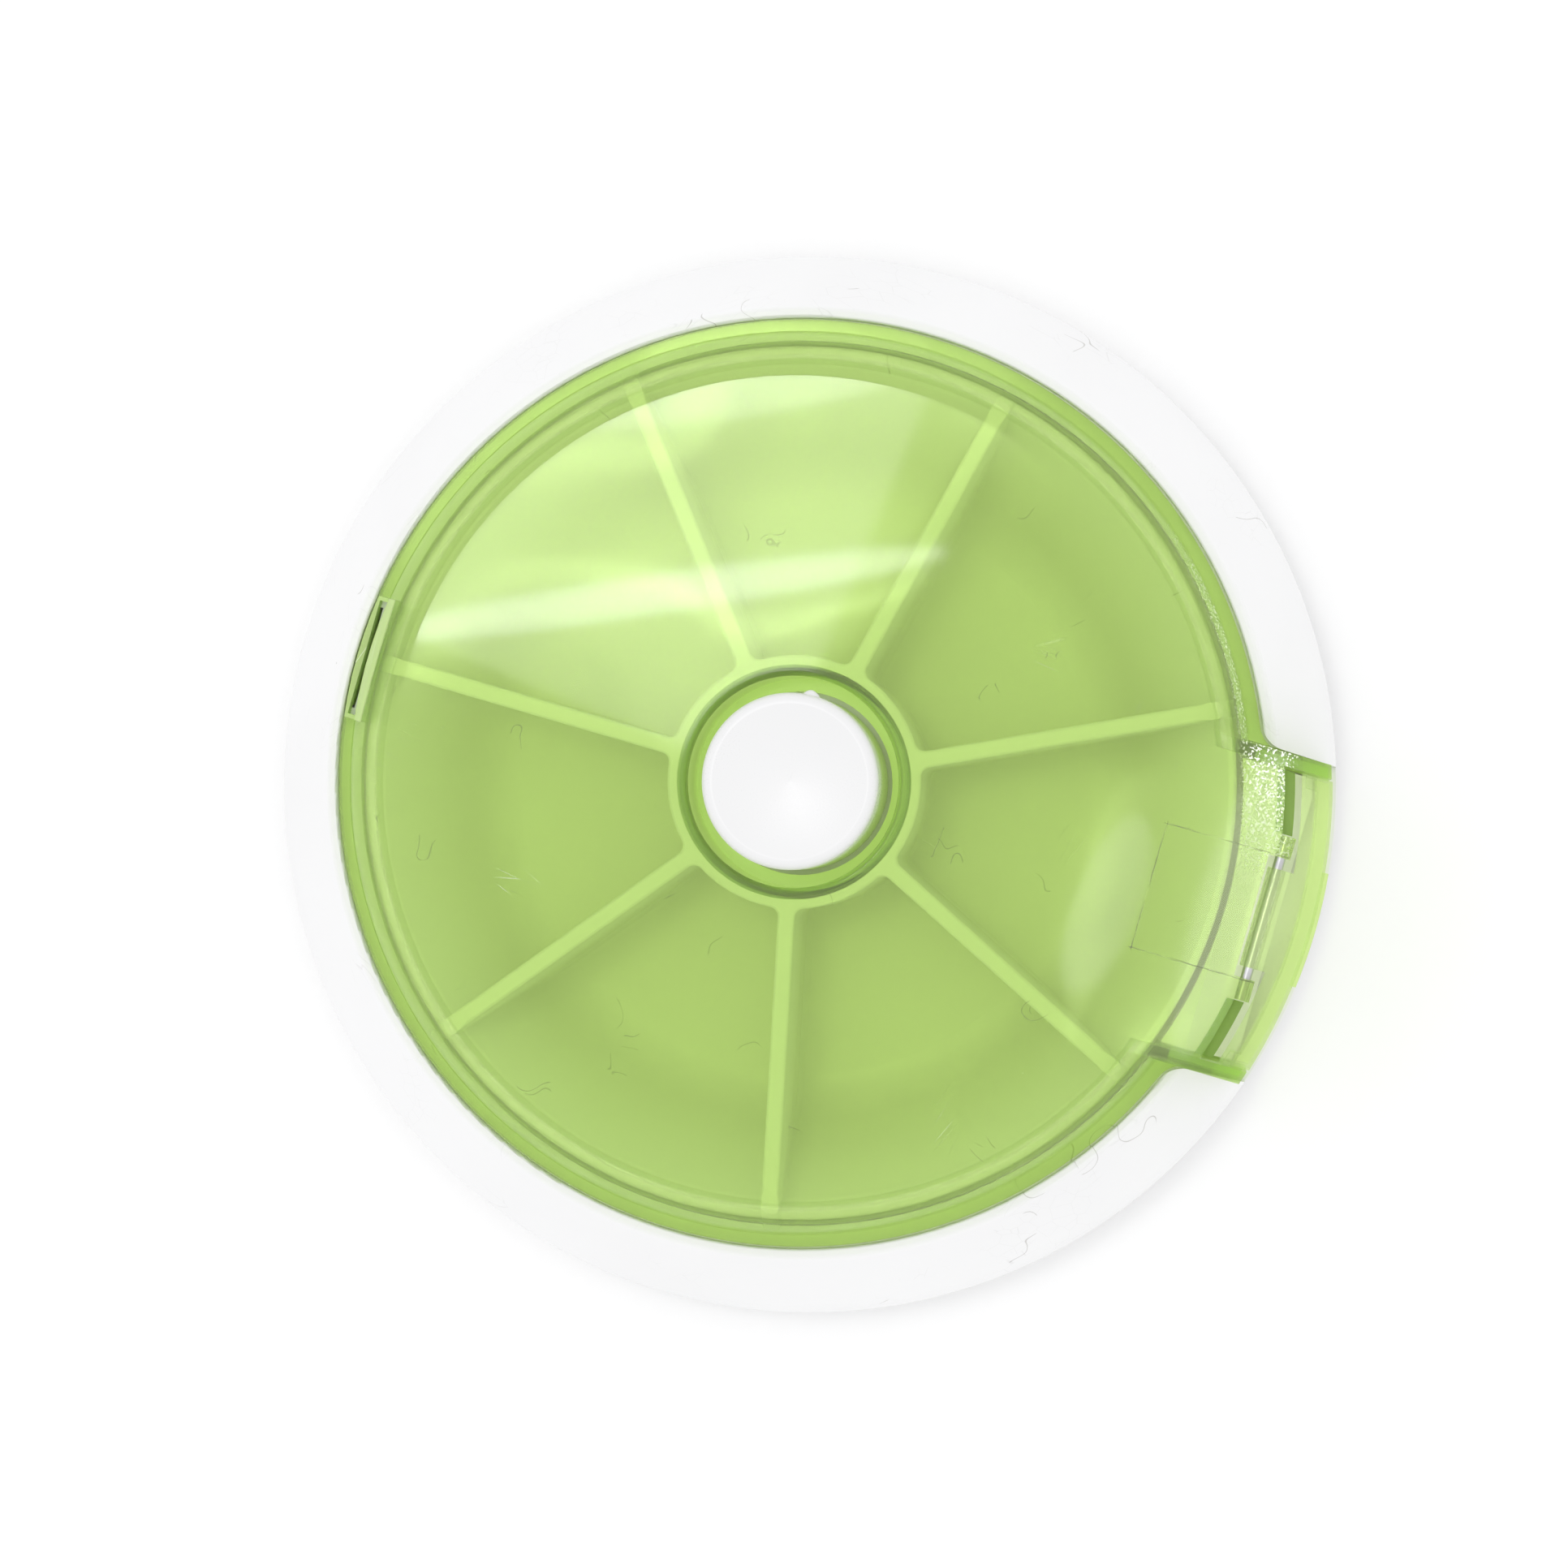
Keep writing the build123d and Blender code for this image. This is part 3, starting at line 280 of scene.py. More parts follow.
    def relief(self, height: Signal, depth: float, strength: float) -> bpy.types.NodeSocket:
        """Turns a height into a normal; a height of 1 is depth metres high."""
        inputs = {"Height": height, "Distance": depth, "Strength": strength}
        return self.node("ShaderNodeBump", {}, inputs).outputs[0]

    def principled(self, inputs: Dict[str, Any]) -> bpy.types.Node:
        """Adds a Principled shader."""
        return self.node("ShaderNodeBsdfPrincipled", {}, inputs)

    def mixed(self, factor: Any, first: Any, second: Any) -> bpy.types.NodeSocket:
        """Mixes two shaders: a factor of 0 gives the first, 1 the second."""
        return self.node("ShaderNodeMixShader", {}, {0: factor, 1: first, 2: second}).outputs[0]

    def finish(self, surface: bpy.types.NodeSocket, volume: Any = None) -> bpy.types.Material:
        """Joins the shaders to the output.

        Args:
            surface: the surface shader.
            volume: a volume shader, or None.

        Returns:
            The material.
        """
        inputs = {"Surface": surface}
        if volume is not None:
            inputs["Volume"] = volume
        self.node("ShaderNodeOutputMaterial", {}, inputs)
        return self.material


@dataclass(frozen=True)
class MouldedWhite:
    """White injection-moulded plastic: soft gloss, faint flow marks, fine grain, a few scuffs.

    The inner colour is a painted glow: the case emits it on its inside faces, by radius and height, for the
    light that comes through the walls into the case.
    """

    name: str
    colour: Colour
    shade: Colour
    roughness: float
    scuffs: float
    inner_glow: Colour = BLACK
    dirt: Colour = (0.35, 0.33, 0.3)
    inner_r_mm: Span = (40.0, 39.5)
    inner_low_mm: Span = (2.0, 3.0)
    inner_high_mm: Span = (13.2, 12.8)

    def make(self) -> bpy.types.Material:
        """Builds the material."""
        g = Graph(self.name)
        clouds = g.noise(60.0, detail=5.0)
        grain = g.noise(GRAIN, detail=2.0)
        marks = g.scratches(angle=0.5, scale=900.0, length=9.0, share=self.scuffs)
        marks = marks + g.scratches(angle=2.1, scale=700.0, length=12.0, share=self.scuffs)
        specks = g.cells(260.0).smooth(0.035, 0.02) * g.noise(90.0, detail=2.0).smooth(0.6, 0.68)
        tone = g.blend(clouds.smooth(0.35, 0.75), self.colour, self.shade)
        hairs = g.lint(340.0, self.scuffs * 0.4)
        tone = g.blend(specks * 0.35 + marks * 0.12 + hairs * 0.5, tone, self.dirt)
        x, y, z = g.axes()
        # painted glow: the case's inside faces, by radius and height, emit light in place of light coming
        # through the walls
        inside = x.hypot(y).step(self.inner_r_mm) * z.step(self.inner_low_mm)
        inside = inside * z.step(self.inner_high_mm)
        shader = g.principled({
            "Emission Color": g.blend(inside, BLACK, self.inner_glow),
            "Emission Strength": 1.0,
            "Base Color": tone,
            "Roughness": grain * 0.08 + clouds * 0.1 + marks * 0.2 + (self.roughness - 0.09),
            "IOR": 1.5,
            "Normal": g.relief(grain * 0.4 + clouds * 2.0, FINE_RELIEF, strength=0.5),
        })
        return g.finish(shader.outputs[0])


@dataclass(frozen=True)
class ClearGreen:
    """Clear tinted plastic: tinted at its faces and deeper inside, slightly warped, scratched, with dust,
    and a painted glow where its plastic gathers light.

    Attributes:
        name: the material's name.
        tint: colour that a wall gives to what is seen through it.
        deep: colour that light keeps on its way through the plastic.
        density: how fast it loses the rest, per metre.
        warp: height of the fine ripple against the slow swell.
        scratches: share of the surface that is scratched.
        milky: colour where it is matt.
        straight: share of the light that goes through unbent.
        cloudy: how matt the frosted places are.
        haze: how matt all the rest is.
        mirror: colour of the reflections.
        painted_glow: colour of a painted glow, emitted where the plastic would gather light and let it out.
        dusted: colour of dust and scratches.
        sparkled: colour of scratches, dust and the painted sparkle.
        coat_mm: heights between which the polished top begins.
    """

    name: str
    tint: Colour
    deep: Colour
    density: float
    warp: float
    scratches: float
    milky: Colour
    straight: float = 0.6
    cloudy: float = 0.6
    haze: float = 0.08
    mirror: Colour = (0.82, 1.0, 0.5)
    painted_glow: Colour = BLACK
    dusted: Colour = (0.6, 0.72, 0.35)
    sparkled: Colour = (0.96, 1.0, 0.88)
    coat_mm: Span = (20.9, 21.4)

    def frosted(self, g: Graph) -> Tuple[Signal, Signal]:
        """Where the mould was left matt: nowhere, unless a subclass says so.

        Args:
            g: the material's node tree.

        Returns:
            A mask, 1 where it is matt, and one, 1 where a painted glow stands for light that the plastic
            gathers.
        """
        none = g.axes()[2] * 0.0
        return none, none

    def traces(self, g: Graph) -> Tuple[Signal, Signal]:
        """Dark lines that the mould left on this piece, and sparkle of worn grit, partly painted glint.

        Args:
            g: the material's node tree.

        Returns:
            A mask of lines and a mask of sparkle.
        """
        none = g.axes()[2] * 0.0
        return none, none

    def make(self) -> bpy.types.Material:
        """Builds the material."""
        g = Graph(self.name)
        swell = g.noise(26.0, detail=1.0)
        ripple = g.noise(140.0, detail=2.0)
        marks = g.scratches(angle=0.35, scale=520.0, length=14.0, share=self.scratches)
        marks = marks + g.scratches(angle=1.7, scale=640.0, length=10.0, share=self.scratches)
        dust = g.cells(420.0).smooth(0.04, 0.015) * g.noise(70.0, detail=2.0).smooth(0.6, 0.66)
        lines, sparkle = self.traces(g)
        rough, glow = self.frosted(g)
        hairs = g.lint(420.0, self.scratches * 0.4)
        tone = g.blend(dust * 0.4 + marks * 0.1, self.tint, self.dusted)
        body = g.principled({
            "Base Color": tone,
            "Roughness": marks * 0.2 + dust * 0.3 + swell * 0.1,
            "IOR": 1.45,
            "Transmission Weight": 0.96,
            "Specular Tint": self.mirror,
            "Coat Weight": g.axes()[2].step(self.coat_mm),
            "Coat Roughness": 0.03,
            "Normal": g.relief(swell * 40.0 + ripple * self.warp, FINE_RELIEF, strength=1.0),
        })
        # A wall has two faces, and each gives the root of its tint
        half = tuple(round(channel**0.5, 3) for channel in self.tint)
        clear = g.node("ShaderNodeBsdfTransparent", {}, {"Color": half}).outputs[0]
        glass = g.mixed(self.straight, body.outputs[0], clear)
        # whitens scratches and dust, and paints the sparkle's glint as white specks
        pale = g.blend(sparkle + marks + dust, self.milky, self.sparkled)
        matt = g.principled({
            "Base Color": g.blend(lines + hairs, pale, dimmed(self.tint, 0.2)),
            "Roughness": ripple * 0.2 + 0.35,
            # painted glow: emission where the plastic would gather light
            "Emission Color": g.blend(glow, BLACK, self.painted_glow),
            "Emission Strength": 1.0,
        })
        wear = marks * 0.2 + (dust + hairs) * 0.3
        frost = rough * self.cloudy + sparkle + lines * 0.4 + wear + self.haze
        skin = g.mixed(frost, glass, matt.outputs[0])
        shadow = g.node("ShaderNodeLightPath").outputs["Is Shadow Ray"]
        outside = g.mixed(shadow, skin, clear)
        inside = g.node("ShaderNodeVolumeAbsorption", {}, {"Color": self.deep, "Density": self.density})
        return g.finish(outside, inside.outputs[0])


@dataclass(frozen=True)
class CoverGreen(ClearGreen):
    """The cover's plastic: matt in the button's well, on the spout's cheeks and at the rear tongue, with a
    painted glow in the well and on the cheeks.

    Each pair of lengths bounds a place, in millimetres: outside it at the first, inside it at the second.
    Only insert_square holds squares of x, in square metres.
    """

    well_r: Span = (9.2, 9.05)
    cheek_x: Span = (12.3, 12.45)
    cheek_y: Span = (-35.8, -36.1)
    cheek_z: Span = (7.4, 6.9)
    tongue_x: Span = (5.4, 5.2)
    tongue_y: Span = (36.2, 36.5)
    under_z: Span = (20.35, 20.25)
    insert_x: float = 5.4
    insert_back: float = 30.5
    insert_front: Span = (-30.3, -30.5)
    insert_square: Span = (3.1e-5, 2.9e-5)
    insert_z: Span = (20.0, 20.2)
    line_mm: float = 0.07
    wobble_mm: float = 0.2
    sparkle_from_r: Span = (36.5, 38.0)
    sparkle_to_r: Span = (42.0, 41.2)
    sparkle_x: Span = (0.0, 12.0)
    sparkle_y: Span = (-20.0, -30.0)
    sparkle_z: Span = (17.0, 18.0)

    def frosted(self, g: Graph) -> Tuple[Signal, Signal]:
        """Matt under the top, where the well, a cheek or the tongue is; a painted glow in the well and on
        the cheeks.
        """
        x, y, z = g.axes()
        well = x.hypot(y).step(self.well_r)
        cheek = x.apart(self.cheek_x) * y.step(self.cheek_y)
        cheek = cheek * z.step(self.cheek_z)
        tongue = x.apart(self.tongue_x) * y.step(self.tongue_y)
        under = z.step(self.under_z)
        return under * (well + cheek + tongue), under * (well + cheek)

    def traces(self, g: Graph) -> Tuple[Signal, Signal]:
        """Outline of the insert that shapes the spout, and sparkle of worn grit on the roof outside it,
        partly painted glint.
        """
        x, y, z = g.axes()
        high = z.step(self.insert_z)
        wobble = g.noise(900.0, detail=2.0) * (self.wobble_mm * MM)
        side = ((x * x) ** 0.5 + wobble - self.insert_x * MM) ** 2.0
        back = (y + wobble + self.insert_back * MM) ** 2.0
        thin = (self.line_mm * MM) ** 2
        outside = y.step(self.insert_front)
        lines = side.smooth(thin, 0.0) * outside
        lines = lines + back.smooth(thin, 0.0) * (x * x).smooth(*self.insert_square)
        radius = x.hypot(y)
        rim = radius.step(self.sparkle_from_r) * radius.step(self.sparkle_to_r)
        grit = g.noise(GRAIN, detail=1.0).smooth(0.57, 0.61) * y.step(self.sparkle_y)
        grit = grit * x.step(self.sparkle_x) * z.step(self.sparkle_z)
        return lines * high * g.noise(300.0, detail=3.0).smooth(0.35, 0.55), rim * grit


@dataclass(frozen=True)
class FlapGreen(ClearGreen):
    """The flap's plastic: matt, with a painted glow, at the wall's lower edge, clear elsewhere."""

    edge_mm: Span = (7.0, 6.6)

    def frosted(self, g: Graph) -> Tuple[Signal, Signal]:
        """Matt, with a painted glow, at the lower edge."""
        below = g.axes()[2].step(self.edge_mm)
        return below, below


@dataclass(frozen=True)
class TrayWhite:
    """White moulded plastic, darker and yellower towards the floor by painted shade, with a few specks of
    powder.
    """

    name: str
    upper_colour: Colour
    floor_shade: Colour
    roughness: float
    level_mm: Span
    powder: Colour = (0.95, 0.95, 0.93)

    def make(self) -> bpy.types.Material:
        """Builds the material."""
        g = Graph(self.name)
        clouds = g.noise(90.0, detail=5.0)
        grain = g.noise(GRAIN, detail=2.0)
        level = g.axes()[2].step(self.level_mm)
        powder = g.cells(900.0).smooth(0.2, 0.05) * clouds.smooth(0.45, 0.6)
        # painted shade: darker and yellower low down, lighter up to the divider tops
        tone = g.blend(level + clouds * 0.2 - 0.1, self.floor_shade, self.upper_colour)
        shader = g.principled({
            "Base Color": g.blend(powder * 0.1, tone, self.powder),
            "Roughness": grain * 0.08 + clouds * 0.15 + (self.roughness - 0.1),
            "IOR": 1.5,
            "Normal": g.relief(grain * 0.4 + clouds * 2.0, FINE_RELIEF, strength=0.5),
        })
        return g.finish(shader.outputs[0])


@dataclass(frozen=True)
class Slippery:
    """Acetal: milky, satin, with faint tool lines."""

    name: str
    colour: Colour

    def make(self) -> bpy.types.Material:
        """Builds the material."""
        g = Graph(self.name)
        clouds = g.noise(150.0, detail=4.0)
        lines = g.noise(900.0, detail=2.0, stretch=(1.0, 1.0, 6.0))
        tone = g.blend(clouds.smooth(0.3, 0.8), self.colour, dimmed(self.colour, 0.93))
        shader = g.principled({
            "Base Color": tone,
            "Roughness": lines * 0.12 + clouds * 0.1 + 0.3,
            "IOR": 1.48,
            "Normal": g.relief(lines, depth=0.01 * MM, strength=0.6),
        })
        return g.finish(shader.outputs[0])


@dataclass(frozen=True)
class Steel:
    """Drawn or plated steel: fine lines along one axis and a little dulling."""

    name: str
    colour: Colour
    roughness: float
    stretch: Scales

    def make(self) -> bpy.types.Material:
        """Builds the material."""
        g = Graph(self.name)
        lines = g.noise(2600.0, detail=3.0, stretch=self.stretch)
        dull = g.noise(300.0, detail=4.0)
        tone = g.blend(dull.smooth(0.4, 0.8), self.colour, dimmed(self.colour, 0.7))
        shader = g.principled({
            "Base Color": tone,
            "Metallic": 1.0,
            "Roughness": lines * 0.2 + dull * 0.15 + (self.roughness - 0.15),
            "Normal": g.relief(lines, depth=0.008 * MM, strength=0.7),
        })
        return g.finish(shader.outputs[0])


@dataclass(frozen=True)
class FootRubber:
    """Matt rubber with a fine grain and lint."""

    name: str
    colour: Colour

    def make(self) -> bpy.types.Material:
        """Builds the material."""
        g = Graph(self.name)
        grain = g.noise(3000.0, detail=4.0)
        lint = g.noise(500.0, detail=3.0).smooth(0.62, 0.72)
        shader = g.principled({
            "Base Color": g.blend(lint * 0.4, self.colour, dimmed(self.colour, 0.6)),
            "Roughness": grain * 0.2 + 0.65,
            "IOR": 1.5,
            "Normal": g.relief(grain, depth=0.03 * MM, strength=0.8),
        })
        return g.finish(shader.outputs[0])


@dataclass(frozen=True)
class PaleFloor:
    """Plain white sweep under the object."""

    name: str
    colour: Colour

    def make(self) -> bpy.types.Material:
        """Builds the material."""
        g = Graph(self.name)
        grain = g.noise(400.0, detail=3.0)
        shader = g.principled({
            "Base Color": g.blend(grain * 0.3, self.colour, dimmed(self.colour, 0.99)),
            "Roughness": grain * 0.1 + 0.8,
            "Specular IOR Level": 0.1,
        })
        return g.finish(shader.outputs[0])


class Finish(Enum):
    """The finishes on this object."""

    CASE = MouldedWhite(
        "case white",
        colour=(0.83, 0.83, 0.835),
        shade=(0.81, 0.81, 0.815),
        roughness=0.32,
        scuffs=0.5,
        # a painted glow on the case's inside faces
        inner_glow=(0.14, 0.14, 0.12),
    )
    BUTTON = MouldedWhite(
        "button white",
        colour=(0.77, 0.77, 0.775),
        shade=(0.75, 0.75, 0.755),
        roughness=0.3,
        scuffs=0.2,
    )
    TRAY = TrayWhite(
        "tray white",
        # painted shade: darker on the floors, lighter up to the divider tops
        upper_colour=(0.91, 0.91, 0.94),
        floor_shade=(0.77, 0.79, 0.64),
        roughness=0.35,
        level_mm=(7.5, 17.0),
    )
    COVER = CoverGreen(
        "clear green cover",
        tint=(0.775, 0.91, 0.487),
        deep=(0.85, 0.93, 0.65),
        density=150.0,
        warp=0.6,
        scratches=0.25,
        milky=(0.6, 0.78, 0.3),
        # painted glow in the well and on the cheeks
        painted_glow=(0.21, 0.27, 0.085),
    )
    FLAP = FlapGreen(
        "clear green flap",
        tint=(0.83, 0.93, 0.62),
        deep=(0.9, 0.95, 0.8),
        density=80.0,
        warp=0.8,
        scratches=0.3,
        milky=(0.8, 0.93, 0.55),
        # painted glow at the flap's lower edge
        painted_glow=(0.2, 0.19, 0.12),
    )
    # painted shade: dark, mostly matt green lips that darken the gap under the roof's edge
    LIP = ClearGreen(
        "painted shade lip",
        tint=(0.6, 0.75, 0.3),
        deep=(0.85, 0.93, 0.65),
        density=150.0,
        warp=0.4,
        scratches=0.1,
        milky=(0.25, 0.41, 0.06),
        straight=0.3,
        haze=0.75,
    )
    ACETAL = Slippery("acetal", colour=(0.8, 0.8, 0.76))
    SPRING = Steel("spring steel", colour=(0.62, 0.62, 0.64), roughness=0.3, stretch=(1.0, 1.0, 6.0))
    SCREW = Steel("plated screw", colour=(0.66, 0.66, 0.68), roughness=0.35, stretch=(1.0, 1.0, 3.0))
    RUBBER = FootRubber("foot rubber", colour=(0.6, 0.6, 0.58))
    FLOOR = PaleFloor("pale floor", colour=(0.93, 0.93, 0.93))


made_finishes: Dict[Finish, bpy.types.Material] = {}


def finish(kind: Finish) -> bpy.types.Material:
    """The material of a finish, made once."""
    if kind not in made_finishes:
        made_finishes[kind] = kind.value.make()
    return made_finishes[kind]


def dress(nodes: Sequence[str], kind: Finish) -> None:
    """Gives CAD nodes a finish.

    Args:
        nodes: names of the nodes.
        kind: the finish.
    """
    for name in nodes:
        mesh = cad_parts[name].data
        mesh.materials.clear()
        mesh.materials.append(finish(kind))
        log.info("%s: %d faces, %s", name, len(mesh.polygons), kind.name)


def tube(rings: np.ndarray) -> Tuple[np.ndarray, List[List[int]]]:
    """Joins rings of points into a skin of four-sided faces and closes both ends with one face each.

    Args:
        rings: points as ring, point of the ring, x y z; seen from the tube's end, each ring runs leftwards.

    Returns:
        The points in rows and the faces.
    """
    count, around = rings.shape[:2]
    row = np.arange(count - 1)[:, None] * around
    following = row + around
    here = np.arange(around)[None, :]
    there = (here + 1) % around
    sides = np.stack((row + here, row + there, following + there, following + here), -1).reshape(-1, 4)
    ends = [list(range(around))[::-1], list(range((count - 1) * around, count * around))]
    return rings.reshape(-1, 3), sides.tolist() + ends


def surface(
    name: str, points: np.ndarray, faces: Sequence[Sequence[int]], kind: Finish, smooth: bool = True
) -> bpy.types.Object:
    """Puts arrays into a new mesh object, at the origin.

    Args:
        name: the piece's name.
        points: one row of x, y, z in metres for each vertex.
        faces: vertex numbers of each face.
        kind: its finish.
        smooth: whether its faces are shaded smooth.

    Returns:
        The object.
    """
    mesh = bpy.data.meshes.new(name)
    mesh.from_pydata(points.tolist(), [], faces)
    mesh.update()
    mesh.polygons.foreach_set("use_smooth", np.full(len(mesh.polygons), smooth))
    made = bpy.data.objects.new(name, mesh)
    bpy.context.scene.collection.objects.link(made)
    mesh.materials.append(finish(kind))
    log.info("%s: %d faces", name, len(mesh.polygons))
    return made


@dataclass
class Case:
    """White lower shell and sloped upper ring, with screws and feet."""

    def build(self) -> None:
        """Dresses the case."""
        dress(("base_pan", "case_ring"), Finish.CASE)
        dress(("case_screws", "detent_screw"), Finish.SCREW)
        dress(("foot_pads",), Finish.RUBBER)


@dataclass
class Wheel:
    """Tray with its ratchet and the parts it turns on."""

    def build(self) -> None:
        """Dresses the wheel."""
        dress(("pill_tray",), Finish.TRAY)
        dress(("ratchet_ring", "tray_glide_ring", "rotor_keeper", "thrust_washer"), Finish.ACETAL)
        dress(("detent_spring",), Finish.SPRING)


@dataclass
class Drive:
    """Button with the plunger, spring and rotor under it, and the flash at the button's edge."""

    edge_r: float = 7.15 * MM
    edge_z: float = 23.2 * MM
    along_y: float = 0.28 * MM
    half_depth: float = 0.5 * MM
    half_length: float = 0.75 * MM
    half_height: float = 0.4 * MM
    uneven: float = 0.12
    steps_u: int = 32
    steps_v: int = 16
    near_pole: float = 0.48
    coil_r: float = 1.55 * MM
    wire_r: float = 0.25 * MM
    coil_low: float = 3.272 * MM
    coil_high: float = 22.628 * MM
    turns: int = 14
    steps_a_turn: int = 24
    steps_round: int = 10
    stroke: float = 4.0 * MM

    def build(self) -> None:
        """Dresses the drive."""
        dress(("button_cap",), Finish.BUTTON)
        dress(("plunger", "index_rotor", "pawl_ring"), Finish.ACETAL)
        dress(("return_spring", "plunger_clip"), Finish.SPRING)
        self.coil()
        self.flash()

    def coil(self) -> None:
        """Makes the return spring anew, in place of the CAD spring.

        Its middle line is a helix: coil_r * (cos(a), sin(a)) on the plan, and from coil_low to coil_high
        as a goes through all turns. The wire's section at a is wire_r * cos(b) outwards from the axis
        plus wire_r * sin(b) across both that and the wire, with b round the wire.
        """
        whole = 2.0 * np.pi * self.turns
        a = np.linspace(0.0, whole, self.steps_a_turn * self.turns + 1)[:, None, None]
        b = np.linspace(0.0, 2.0 * np.pi, self.steps_round + 1)[:-1][None, :, None]
        rise = (self.coil_high - self.coil_low) / whole
        flat = np.zeros_like(a)
        outwards = np.concatenate((np.cos(a), np.sin(a), flat), -1)
        line = self.coil_r * outwards + np.concatenate((flat, flat, self.coil_low + rise * a), -1)
        heading = np.concatenate((-self.coil_r * np.sin(a), self.coil_r * np.cos(a), flat + rise), -1)
        across = np.cross(heading, outwards) / np.linalg.norm(heading, axis=-1, keepdims=True)
        rings = line + self.wire_r * (np.cos(b) * outwards + np.sin(b) * across)
        points, faces = tube(rings)
        piece = surface("return_coil", points, faces, Finish.SPRING)
        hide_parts("return_spring")
        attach(piece, "base")
        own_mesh(piece)

    def flash(self) -> None:
        """Adds the flash that the mould left at the button's edge.

        An ellipsoid: its place is the middle plus half_depth * cos(v) * cos(u) outwards,
        half_length * cos(v) * sin(u) along the edge and half_height * sin(v) upwards, with u round and v
        almost from pole to pole, where a small face closes each end. A wave in u makes its depth uneven.
        """
        around = np.linspace(0.0, 2.0 * np.pi, self.steps_u + 1)[:-1]
        upwards = np.linspace(-self.near_pole, self.near_pole, self.steps_v + 1) * np.pi
        u, v = np.meshgrid(around, upwards)
        wobble = 1.0 + self.uneven * np.sin(3.0 * u + 1.0)
        out = self.edge_r + self.half_depth * np.cos(v) * np.cos(u) * wobble
        along = self.along_y + self.half_length * np.cos(v) * np.sin(u)
        high = self.edge_z + self.half_height * np.sin(v)
        points, faces = tube(np.stack((out, along, high), -1))
        piece = surface("button_flash", points, faces, Finish.BUTTON)
        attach(piece, "button")


@dataclass
class Lid:
    """Clear cover with its spout, the dark lips under the roof's edge that paint the shade of the gap
    there, and the flap on its pin.
    """

    lip_from: float = 7.1 * MM
    lip_to: float = 12.2 * MM
    web_in: float = 39.9 * MM
    web_out: float = 40.45 * MM
    lip_out: float = 41.35 * MM
    lip_low: float = 19.45 * MM
    lip_high: float = 19.85 * MM
    roof_low: float = 20.48 * MM
    steps: int = 24

    def lips(self) -> None:
        """Makes the two lips that the flap closes over: a web down from the roof and a ledge outwards.
        Their dark, mostly matt green is painted shade for the gap under the roof's edge.

        A lip's section is an L of six points (r, z). At x across the spout the point lies at
        y = -root(r * r - x * x), so that the lip follows the roof's round edge.
        """
        r = np.array([self.web_in, self.web_out, self.web_out, self.lip_out, self.lip_out, self.web_in])
        high, ledge, low = self.roof_low, self.lip_high, self.lip_low
        z = np.array([high, high, ledge, ledge, low, low])
        across = np.linspace(self.lip_from, self.lip_to, self.steps + 1)[:, None]
        for side, x in (("right", across), ("left", -across[::-1])):
            rings = np.stack(np.broadcast_arrays(x, -np.sqrt(r * r - x * x), z), -1)
            points, faces = tube(rings)
            piece = surface(f"{side}_roof_shade_lip", points, faces, Finish.LIP, smooth=False)
            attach(piece, "cover")

    def build(self) -> None:
        """Dresses the lid."""
        self.lips()
        dress(("cover",), Finish.COVER)
        dress(("spout_door",), Finish.FLAP)
        dress(("door_hinge_pin",), Finish.SPRING)


@dataclass(frozen=True)
class Lamp:
    """A soft lamp over the object, facing down.

    Attributes:
        name: its name.
        cover_mm: the place on the cover, in the picture's right and up, that mirrors its middle.
        lean: angle of its long side from the picture's right, in degrees.
        size_mm: its sides in the mirror image, in millimetres.
        glow: its brightness against white.
    """

    name: str
    cover_mm: Span
    lean: float
    size_mm: Span
    glow: float


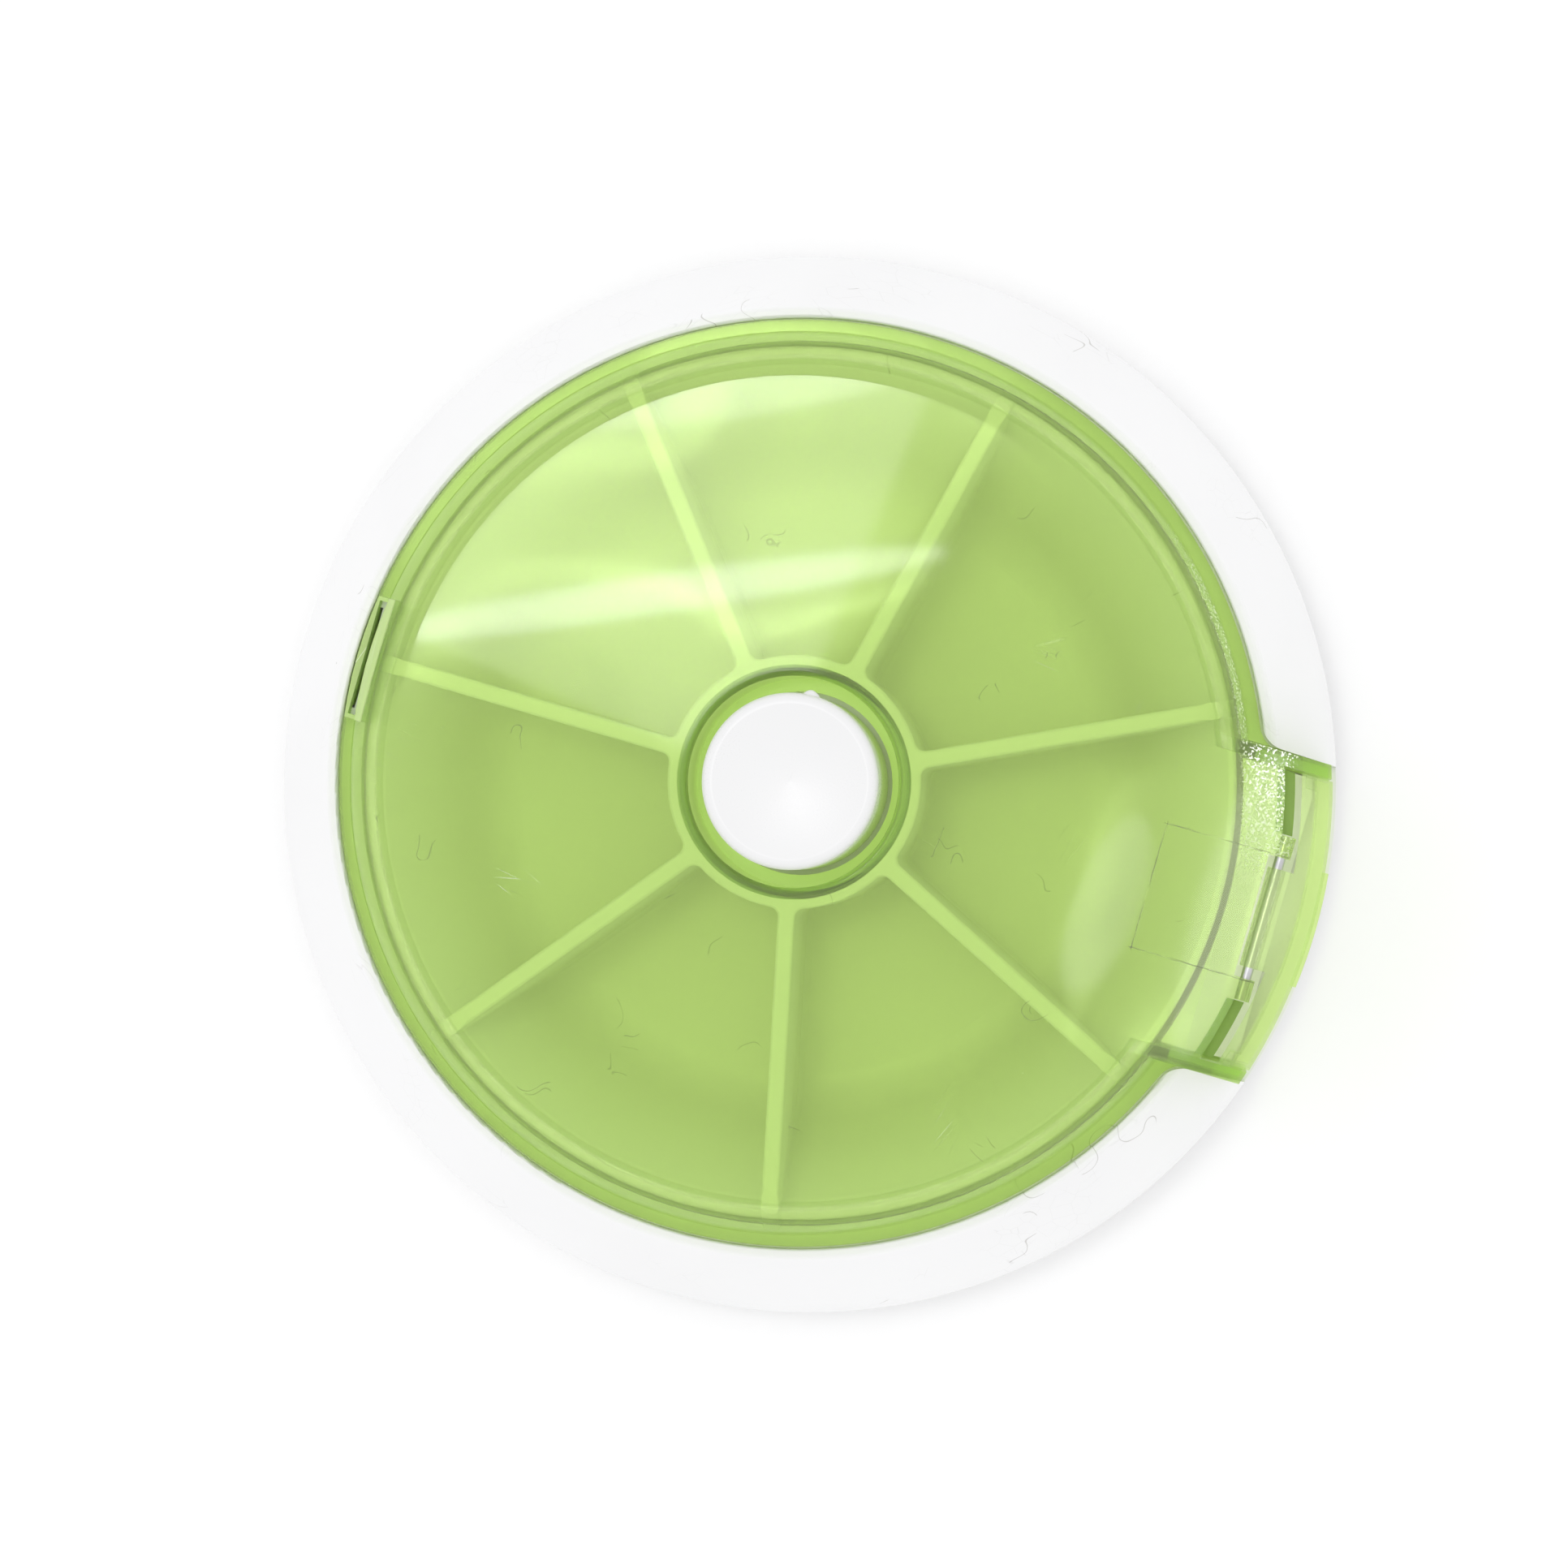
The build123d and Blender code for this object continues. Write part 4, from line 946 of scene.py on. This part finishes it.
@dataclass
class Studio:
    """Camera over the object, pale floor and soft lights."""

    distance: float = 425.0 * MM
    lean_right: float = 5.0
    lean_down: float = 0.8
    aim_left: float = 1.9 * MM
    aim_height: float = 7.6 * MM
    focal_px: float = 6131.0
    picture_px: float = 1932.0
    sensor_mm: float = 36.0
    nearest: float = 10.0 * MM
    turn: float = -73.8
    floor_half: float = 1.5
    floor_gap: float = 0.02 * MM
    cover_height: float = 21.6 * MM
    surround: float = 1.1
    lamp_height: float = 1.0
    strip_mm: float = 10.0
    strip_drop: float = 0.01
    lamps: Tuple[Lamp, ...] = (
        Lamp("soft box", cover_mm=(-14.4, 32.6), lean=67.7, size_mm=(50.0, 50.0), glow=6.0),
        Lamp("upper strip", cover_mm=(-5.0, 31.5), lean=7.0, size_mm=(34.0, 5.0), glow=11.0),
        Lamp("lower strip", cover_mm=(-10.0, 15.0), lean=8.0, size_mm=(48.0, 3.0), glow=17.0),
        Lamp("side strip", cover_mm=(26.3, -9.8), lean=69.0, size_mm=(15.0, 5.0), glow=6.0),
        Lamp("spout strip", cover_mm=(36.2, -9.5), lean=72.0, size_mm=(26.0, 5.0), glow=7.0),
    )

    def axes(self) -> Tuple[Vector, Vector]:
        """The picture's right and up, on the plan."""
        angle = np.radians(self.turn)
        right = Vector((np.cos(angle), np.sin(angle), 0.0))
        return right, Vector((-right.y, right.x, 0.0))

    def camera(self) -> None:
        """Places the camera: it stands over the object and leans a little to the right."""
        right, up = self.axes()
        aim = Vector((0.0, 0.0, self.aim_height)) - right * self.aim_left
        lean = Vector((0.0, 0.0, 1.0))
        lean += right * float(np.tan(np.radians(self.lean_right)))
        lean -= up * float(np.tan(np.radians(self.lean_down)))
        back = lean.normalized()
        side = up.cross(back).normalized()
        top = back.cross(side)
        data = bpy.data.cameras.new("camera")
        data.sensor_width = self.sensor_mm
        data.sensor_fit = "HORIZONTAL"
        data.lens = self.sensor_mm * self.focal_px / self.picture_px
        data.clip_start = self.nearest
        camera = bpy.data.objects.new("camera", data)
        turned = Matrix((side, top, back)).transposed().to_4x4()
        camera.matrix_world = Matrix.Translation(aim + back * self.distance) @ turned
        bpy.context.scene.collection.objects.link(camera)
        bpy.context.scene.camera = camera

    def floor(self) -> None:
        """Makes the floor: a flat sheet just under the feet, with the object over its middle."""
        corners = np.array([(-1.0, -1.0), (1.0, -1.0), (1.0, 1.0), (-1.0, 1.0)]) * self.floor_half
        points = np.column_stack((corners, np.full(4, -self.floor_gap)))
        sheet = surface("floor", points, [[0, 1, 2, 3]], Finish.FLOOR)

    def hang(self, lamp: Lamp) -> None:
        """Hangs a lamp where the cover mirrors it at its place; a narrow one is an ellipse, a bit lower.

        A point of the cover at x, y is seen to mirror the point at x + (x - camera x) * h / c, and the
        same for y, on a level h over the cover, with the camera c over the cover.

        Args:
            lamp: the lamp.
        """
        right, up = self.axes()
        reach = self.lamp_height / (self.distance - self.cover_height)
        eye = (float(np.tan(np.radians(self.lean_right))), -float(np.tan(np.radians(self.lean_down))))
        offset = [m * MM * (1.0 + reach) - e * self.lamp_height for m, e in zip(lamp.cover_mm, eye)]
        size = [length * MM * (1.0 + reach) for length in lamp.size_mm]
        narrow = min(lamp.size_mm) < self.strip_mm
        data = bpy.data.lights.new(lamp.name, "AREA")
        data.shape = "ELLIPSE" if narrow else "RECTANGLE"
        data.size, data.size_y = size
        area = size[0] * size[1] * (np.pi / 4.0 if narrow else 1.0)
        data.energy = float(lamp.glow * area * np.pi)
        made = bpy.data.objects.new(lamp.name, data)
        height = self.lamp_height - (self.strip_drop if narrow else 0.0)
        made.location = right * offset[0] + up * offset[1] + Vector((0.0, 0.0, height))
        made.rotation_euler = (0.0, 0.0, float(np.radians(self.turn + lamp.lean)))
        bpy.context.scene.collection.objects.link(made)

    def lights(self) -> None:
        """Sets the even white surround and the lamps that the cover mirrors."""
        world = bpy.data.worlds.new("studio")
        world.use_nodes = True
        world.node_tree.nodes["Background"].inputs[0].default_value = (1.0, 1.0, 1.0, 1.0)
        world.node_tree.nodes["Background"].inputs[1].default_value = self.surround
        bpy.context.scene.world = world
        for lamp in self.lamps:
            self.hang(lamp)
        bpy.context.scene.view_settings.view_transform = "Standard"

    def build(self) -> None:
        """Builds the studio."""
        self.camera()
        self.floor()
        self.lights()


def main() -> None:
    """Builds every sub-assembly and the studio."""
    logging.basicConfig(level=logging.INFO, format="%(message)s")
    for assembly in (Case(), Wheel(), Drive(), Lid(), Studio()):
        assembly.build()


if __name__ == "__main__":
    main()
